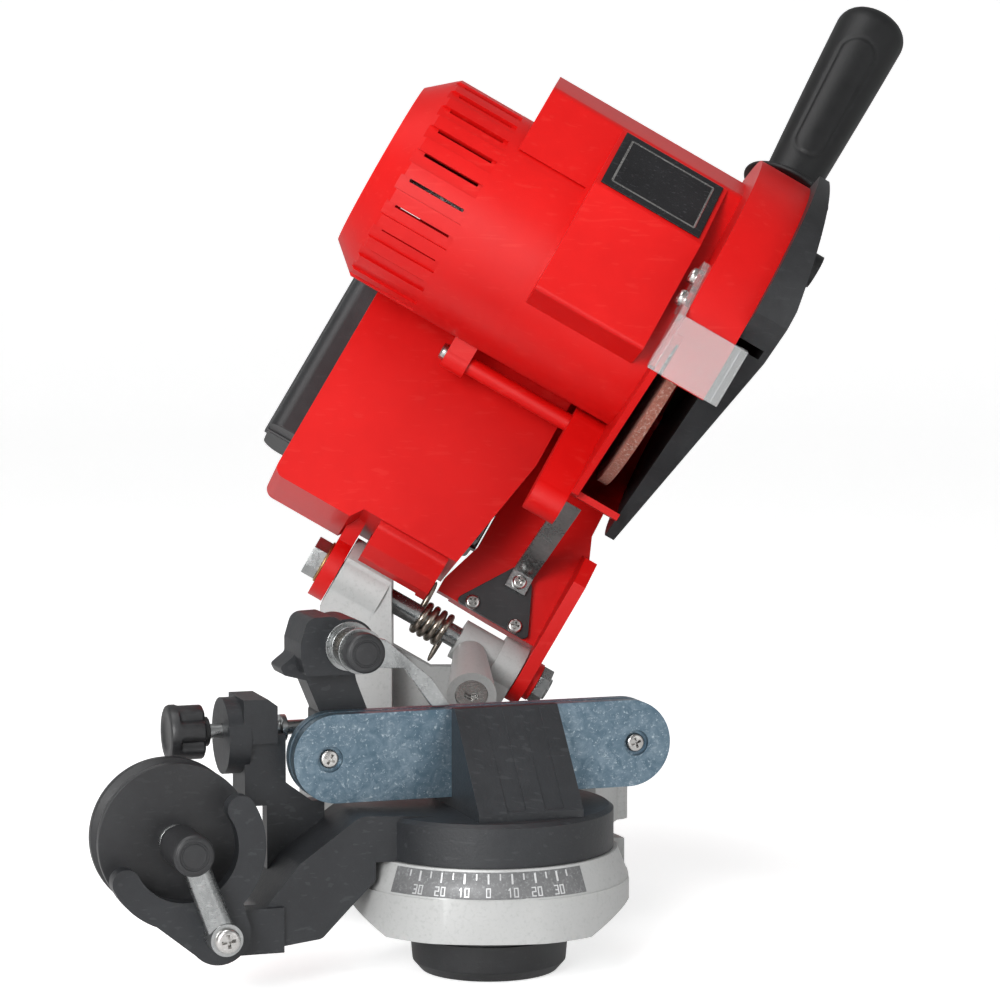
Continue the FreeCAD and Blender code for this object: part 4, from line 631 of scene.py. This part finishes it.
def gripProfile():
    length, neck, end, flange = grip["length"], grip["neck"], grip["end"], grip["flange"]
    rise, tipRound = grip["flangeRise"], grip["tipRound"]
    tipFoot = length - tipRound - 0.1
    profile = [(grip["bore"], grip["boreEnd"]), (grip["bore"], rise), (flange - 2.2, rise)]
    for angle in range(-75, 91, 15):  # rolled rim of the flange
        turn = math.radians(angle)
        profile.append((flange - 1.3 + 1.3 * math.cos(turn), rise + 1.3 + 1.3 * math.sin(turn)))
    for wider, higher in ((2.6, 2.7), (1.2, 3.4), (0.5, 4.6), (0.3, 5.8)):  # hollow above the flange
        profile.append((neck + wider, rise + higher))
    height = rise + 6.8
    while height < tipFoot - 0.6:
        share = (height - 4) / (tipFoot - 4)
        profile.append((neck + (end - neck) * (share * 0.75 + 0.25 * math.sin(share * math.pi / 2)), height))
        height += 0.9
    for angle in range(0, 91, 10):  # rounded far end
        turn = math.radians(angle)
        profile.append((end - tipRound + tipRound * math.cos(turn), tipFoot + tipRound * math.sin(turn)))
    profile += [(5.0, length - 0.1), (4.4, length - 0.7), (0, length - 0.7)]
    return profile


def gripShape(angle, height):
    # shallow groove round the thumb panel on the front
    if height < grip["panelLow"] - 3 or height > grip["panelHigh"] + 3:
        return 0.0
    around = (math.degrees(angle) - grip["front"] + 180) % 360 - 180
    across = math.radians(around) * 14.5
    half = grip["panelHalf"]
    beyondEnd = max(grip["panelLow"] + half - height, height - grip["panelHigh"] + half, 0.0)
    edge = math.hypot(across, beyondEnd) - half
    return -grip["panelGroove"] * math.exp(-(edge / 0.7) ** 2) + (0.25 if edge < -0.7 else 0.0)


def makeGrip():
    lean = math.radians(grip["lean"])
    along = (0, math.sin(lean), math.cos(lean))
    seat = axisFrame(onHead, grip["base"], along)
    faces = Vector((math.sin(math.radians(grip["panelTurn"])), -1, 0))
    front = seat.inverted() @ (onHead @ (Vector(grip["base"]) * mm + faces))
    grip["front"] = math.degrees(math.atan2(front.y, front.x))
    build = bmesh.new()
    addLathe(build, seat, gripProfile(), 88, gripShape)
    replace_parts(keepPiece("gripSleeve", build, "head", "grip_rubber", 40), "handle_grip")
    build = bmesh.new()
    rise, foot, top = grip["flangeRise"] - 0.1, grip["collarFoot"], grip["collarTop"]
    bore = grip["bore"]
    collar = [(bore, -1.0), (foot, -1.0), (foot, 0.2), (foot - 1.2, 1.4), (top, rise), (bore, rise)]
    addLathe(build, seat, collar + collar[:1], 64)
    keepPiece("gripCollar", build, "head", "red_plastic")


makeScrews()
makeGrip()
print("screws and grip made")

noseScale = {
    "centre": (11.5, -135.0), "low": -7.0, "high": 4.5, "lowRadius": 57.2, "highRadius": 52.5,
    "span": 35, "step": 5, "tickRaise": 0.3, "digitHeight": 3.4, "digitSpace": 2.5,
    "strokes": {  # plain figures drawn with straight strokes in a 2 by 4 cell
        "0": (((0, 0), (2, 0), (2, 4), (0, 4), (0, 0)),),
        "1": (((0.4, 3.2), (1.2, 4), (1.2, 0)),),
        "2": (((0, 4), (2, 4), (2, 2), (0, 2), (0, 0), (2, 0)),),
        "3": (((0, 4), (2, 4), (2, 0), (0, 0)), ((0.5, 2), (2, 2))),
    },
}


def nosePoint(degrees, slant, raised):
    # a point on the sloping band round the nose
    low, high = noseScale["low"], noseScale["high"]
    fall = noseScale["lowRadius"] - noseScale["highRadius"]
    length = math.hypot(high - low, fall)
    share = slant / length
    radius = noseScale["lowRadius"] - fall * share + raised * (high - low) / length
    height = low + (high - low) * share + raised * fall / length
    turn = math.radians(degrees)
    x, y = noseScale["centre"]
    return Vector((x + radius * math.sin(turn), y - radius * math.cos(turn), height)) * mm


def addRaisedBar(build, corners, low, high):
    # raised mark with narrower top, from four (degrees, slant) corners
    middle = [sum(c[i] for c in corners) / 4 for i in (0, 1)]
    foot = [build.verts.new(nosePoint(*corner, low)) for corner in corners]
    top = []
    for degrees, slant in corners:
        inward = (degrees + (middle[0] - degrees) * 0.12, slant + (middle[1] - slant) * 0.06)
        top.append(build.verts.new(nosePoint(*inward, high)))
    for i in range(4):
        j = (i + 1) % 4
        build.faces.new((foot[i], foot[j], top[j], top[i]))
    build.faces.new(top)
    build.faces.new(foot[::-1])


def addFigure(build, figure, degrees, low, high):
    perDegree = math.radians(1) * 55.5
    cell = noseScale["digitHeight"] / 4
    half = 0.24  # half stroke width in millimetres
    for run in noseScale["strokes"][figure]:
        for (x0, y0), (x1, y1) in zip(run, run[1:]):
            start = Vector(((x0 - 1) * cell * 0.85, 1.6 + y0 * cell))
            end = Vector(((x1 - 1) * cell * 0.85, 1.6 + y1 * cell))
            along = (end - start).normalized()
            side = Vector((-along.y, along.x)) * half
            start, end = start - along * half, end + along * half
            corners = [start + side, start - side, end - side, end + side]
            addRaisedBar(build, [(degrees + c.x / perDegree, c.y) for c in corners], low, high)


def makeNoseScale():
    build = bmesh.new()
    raised = noseScale["tickRaise"]
    perDegree = math.radians(1) * 55.5
    for degrees in range(-noseScale["span"], noseScale["span"] + 1, noseScale["step"]):
        long = degrees % 10 == 0
        start = 6.6 if long else 8.2
        half = (0.42 if long else 0.3) / perDegree
        left, right = degrees - half, degrees + half
        corners = [(left, start), (right, start), (right, 10.9), (left, 10.9)]
        addRaisedBar(build, corners, -0.1, raised)
        if long:
            label = str(abs(degrees))
            for i, figure in enumerate(label):
                shift = (i - (len(label) - 1) / 2) * noseScale["digitSpace"] / perDegree
                addFigure(build, figure, degrees + shift, -0.1, raised)
    keepPiece("noseScaleMarks", build, "base", "cast_grey", 30, "scale_mark")


def makeNoseBand():
    # thin sloping sheet under the raised figures, coloured dark as painted shade on the band
    build = bmesh.new()
    rows = []
    for step in range(-45, 46):
        points = [nosePoint(step * 0.96, slant, 0.06) for slant in (0.7, 0.9, 6.0, 11.4, 11.6)]
        rows.append([build.verts.new(point) for point in points])
        for i in (0, 4):
            rows[-1][i].co = nosePoint(step * 0.96, 0.7 if i == 0 else 11.6, -0.1)
    for first, second in zip(rows, rows[1:]):
        for i in range(4):
            build.faces.new((first[i], second[i], second[i + 1], first[i + 1]))
    keepPiece("noseScaleBand", build, "base", "cast_grey", 60, "scale_band")


thumbKnob = {
    "at": (-130.5, 18.0, 54.5), "radius": 11.5, "length": 14.5, "hub": 6.0, "lobes": 6, "grooveDeep": 2.6,
    "grooveFrom": 3.6, "turn": 0.35,
}


def thumbShape(angle, height):
    # finger grooves run in from the hub side
    if height < thumbKnob["grooveFrom"] or height > thumbKnob["length"]:
        return 0.0
    pitch = 2 * math.pi / thumbKnob["lobes"]
    near = (angle - thumbKnob["turn"]) % pitch
    near = min(near, pitch - near) * thumbKnob["radius"]
    ease = min(1.0, (height - thumbKnob["grooveFrom"]) / 1.2)
    return -thumbKnob["grooveDeep"] * ease * math.exp(-(near / 1.9) ** 2)


def makeThumbKnob():
    build = bmesh.new()
    radius, length, hub = thumbKnob["radius"], thumbKnob["length"], thumbKnob["hub"]
    profile = [(0, 0.5), (radius * 0.55, 0.5), (radius * 0.6, 0.1), (radius - 1.4, 0.0), (radius - 0.5, 0.4)]
    profile += [(radius, 1.4), (radius, 3.5)] + [(radius, 3.6 + 0.3 * step) for step in range(5)]
    profile += [(radius, 8.0), (radius, length - 1.2)]
    profile += [(radius - 0.5, length - 0.4), (radius - 1.4, length)]
    profile += [(hub + 0.6, length), (hub, length + 0.4)]
    profile += [(hub, length + 2.2), (hub - 0.5, length + 2.6), (0, length + 2.6)]
    addLathe(build, axisFrame(onVise, thumbKnob["at"], (1, 0, 0)), profile, 96, thumbShape)
    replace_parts(keepPiece("stopThumbGrip", build, "stop_screw", "black_plastic"), "stop_thumb_knob")


def addSweep(build, points, place, width, height, normal):
    # low bead with a rounded top along a path of points
    up = Vector(normal).normalized()
    rows = []
    for i, point in enumerate(points):
        before = Vector(points[max(i - 1, 0)])
        after = Vector(points[min(i + 1, len(points) - 1)])
        side = (after - before).normalized().cross(up).normalized()
        row = []
        for across, rise in ((-1, -0.3), (-1, 0.35), (-0.6, 0.85), (0, 1), (0.6, 0.85), (1, 0.35), (1, -0.3)):
            corner = Vector(point) + side * across * width / 2 + up * rise * height
            row.append(build.verts.new(place @ (corner * mm)))
        rows.append(row)
    for first, second in zip(rows, rows[1:]):
        for i in range(6):
            build.faces.new((first[i], first[i + 1], second[i + 1], second[i]))
    build.faces.new(rows[0][::-1])
    build.faces.new(rows[-1])


labelPlate = {
    "left": -39.0, "right": 13.0, "low": (148.0, 166.0), "high": (126.5, 202.2), "thick": 0.8,
    "inset": 4.0, "lineWidth": 0.9, "lineRaise": 0.18,
}


def makeLabelFrame():
    # thin frame line inside the edge of the bare plate
    low, high = labelPlate["low"], labelPlate["high"]
    start = Vector((0, -low[0], low[1]))
    end = Vector((0, -high[0], high[1]))
    along = (end - start).normalized()
    out = Vector((0, -along.z, along.y))
    inset = labelPlate["inset"]
    build = bmesh.new()

    def corner(x, reach):
        base = start + along * reach + out * labelPlate["thick"]
        return (x, base.y, base.z)

    left, right = labelPlate["left"] + 2 + inset, labelPlate["right"] - 2 - inset
    near, far = 2 + inset, (end - start).length - 1.5 - inset
    loop = [corner(left, near), corner(right, near), corner(right, far), corner(left, far)]
    for first, second in zip(loop, loop[1:] + loop[:1]):
        addSweep(build, [first, second], onHead, labelPlate["lineWidth"], labelPlate["lineRaise"], out)
    keepPiece("labelFrameLine", build, "head", "screw_steel", 50)


capFaces = {
    "pawlCapFace": {"at": (-60.0, -28.0, 89.5), "body": "stop_arm", "radius": 7.0},
    "rollerCapFace": {"at": (-134.0, -45.5, 16.5), "body": "roller_bracket", "radius": 7.2},
}


def makeCapFaces():
    # raised rim and slightly domed middle on the ends of the two black caps
    for name, cap in capFaces.items():
        build = bmesh.new()
        radius = cap["radius"]
        profile = [(radius - 0.3, -0.3), (radius - 0.3, 0.15), (radius - 0.7, 0.35), (radius - 1.4, 0.35)]
        profile += [(radius - 1.7, -0.1), (radius - 2.2, -0.1), (radius - 2.5, 0.3)]
        profile += [(radius * 0.35, 0.5), (0, 0.55)]
        addLathe(build, axisFrame(onVise, cap["at"], (0, -1, 0)), profile, 40)
        keepPiece(name, build, cap["body"], "black_plastic")


makeNoseBand()
makeNoseScale()
makeThumbKnob()
makeLabelFrame()
makeCapFaces()
print("scale, label frame and caps made")


floorSize = {"flat": 3.4, "sweep": 1.2, "high": 3.0, "steps": 64, "glow": (0.08, 0.62)}


def makeFloor():
    # round floor that sweeps up into one wall all the way round, well outside every camera
    low = cadBox[0].z - 0.0004
    profile = [(0.0, 0.0), (1.0, 0.0), (2.2, 0.0), (floorSize["flat"], 0.0)]
    for angle in range(9, 91, 9):
        turn = math.radians(angle)
        rise = floorSize["sweep"]
        profile.append((floorSize["flat"] + rise * math.sin(turn), rise - rise * math.cos(turn)))
    profile.append((floorSize["flat"] + floorSize["sweep"], floorSize["high"]))
    mesh = bpy.data.meshes.new("floor")
    build = bmesh.new()
    rings = [[build.verts.new((0, 0, low))]]
    for reach, height in profile[1:]:
        turns = [2 * math.pi * step / floorSize["steps"] for step in range(floorSize["steps"])]
        corners = [(reach * math.cos(turn), reach * math.sin(turn), low + height) for turn in turns]
        rings.append([build.verts.new(corner) for corner in corners])
    for step in range(floorSize["steps"]):
        after = (step + 1) % floorSize["steps"]
        build.faces.new((rings[0][0], rings[1][step], rings[1][after]))
        for inner, outer in zip(rings[1:], rings[2:]):
            build.faces.new((inner[step], outer[step], outer[after], inner[after]))
    build.to_mesh(mesh)
    build.free()
    floor = bpy.data.objects.new("floor", mesh)
    for face in mesh.polygons:
        face.use_smooth = True
    bpy.context.scene.collection.objects.link(floor)
    material = bpy.data.materials.new("paleFloor")
    material.use_nodes = True
    tree = material.node_tree
    shader = tree.nodes["Principled BSDF"]
    drift = useGroup(tree, toneDrift, {"Scale": 1.5, "Mottle": 0.1})
    pale = mixColours(tree, drift.outputs["Drift"], (0.88, 0.88, 0.88), (0.92, 0.92, 0.92))
    tree.links.new(pale, shader.inputs["Base Color"])
    shader.inputs["Roughness"].default_value = 0.8
    shader.inputs["Specular IOR Level"].default_value = 0.1
    shader.inputs["Emission Color"].default_value = (1, 1, 1, 1)
    seen = tree.nodes.new("ShaderNodeLightPath")
    glow = tree.nodes.new("ShaderNodeMapRange")  # bright in view, dimmer in reflections
    glow.inputs["To Min"].default_value, glow.inputs["To Max"].default_value = floorSize["glow"]
    tree.links.new(seen.outputs["Is Camera Ray"], glow.inputs["Value"])
    tree.links.new(glow.outputs["Result"], shader.inputs["Emission Strength"])
    mesh.materials.append(material)


studio = {
    "world": 0.28,
    "aim": (0, -0.06, 0.12),
    "lights": {  # place, size, power
        "key": ((-0.6, -1.7, 0.6), (0.7, 0.7), 26),
        "fill": ((1.3, -1.2, 0.35), (0.8, 1.2), 3.5),
        "top": ((-0.35, -0.45, 1.4), (0.9, 0.8), 9.0),
    },
}


def addSoftLight(name, place, size, power):
    light = bpy.data.lights.new(name, "AREA")
    light.shape = "RECTANGLE"
    light.size, light.size_y = size
    light.energy = power
    lamp = bpy.data.objects.new(name, light)
    lamp.location = place
    lamp.rotation_euler = (Vector(studio["aim"]) - Vector(place)).to_track_quat("-Z", "Y").to_euler()
    lamp.visible_camera = False
    bpy.context.scene.collection.objects.link(lamp)


def addStudio():
    world = bpy.data.worlds.new("studio")
    world.use_nodes = True
    world.node_tree.nodes["Background"].inputs["Color"].default_value = (1, 1, 1, 1)
    world.node_tree.nodes["Background"].inputs["Strength"].default_value = studio["world"]
    bpy.context.scene.world = world
    for name, (place, size, power) in studio["lights"].items():
        addSoftLight(name, place, size, power)
    bpy.context.scene.view_settings.view_transform = "Standard"


cameraPlace = {"lens": 118.8, "at": (0.016, -1.4701, 0.2632), "tip": 85}


def addCamera():
    camera = bpy.data.cameras.new("camera")
    camera.lens = cameraPlace["lens"]
    camera.sensor_width = 36
    camera.clip_start = 0.05
    camera.clip_end = 20
    viewer = bpy.data.objects.new("camera", camera)
    viewer.location = cameraPlace["at"]
    viewer.rotation_euler = (math.radians(cameraPlace["tip"]), 0, 0)
    bpy.context.scene.collection.objects.link(viewer)
    bpy.context.scene.camera = viewer


makeFloor()
addStudio()
addCamera()
print("stage and lights set")
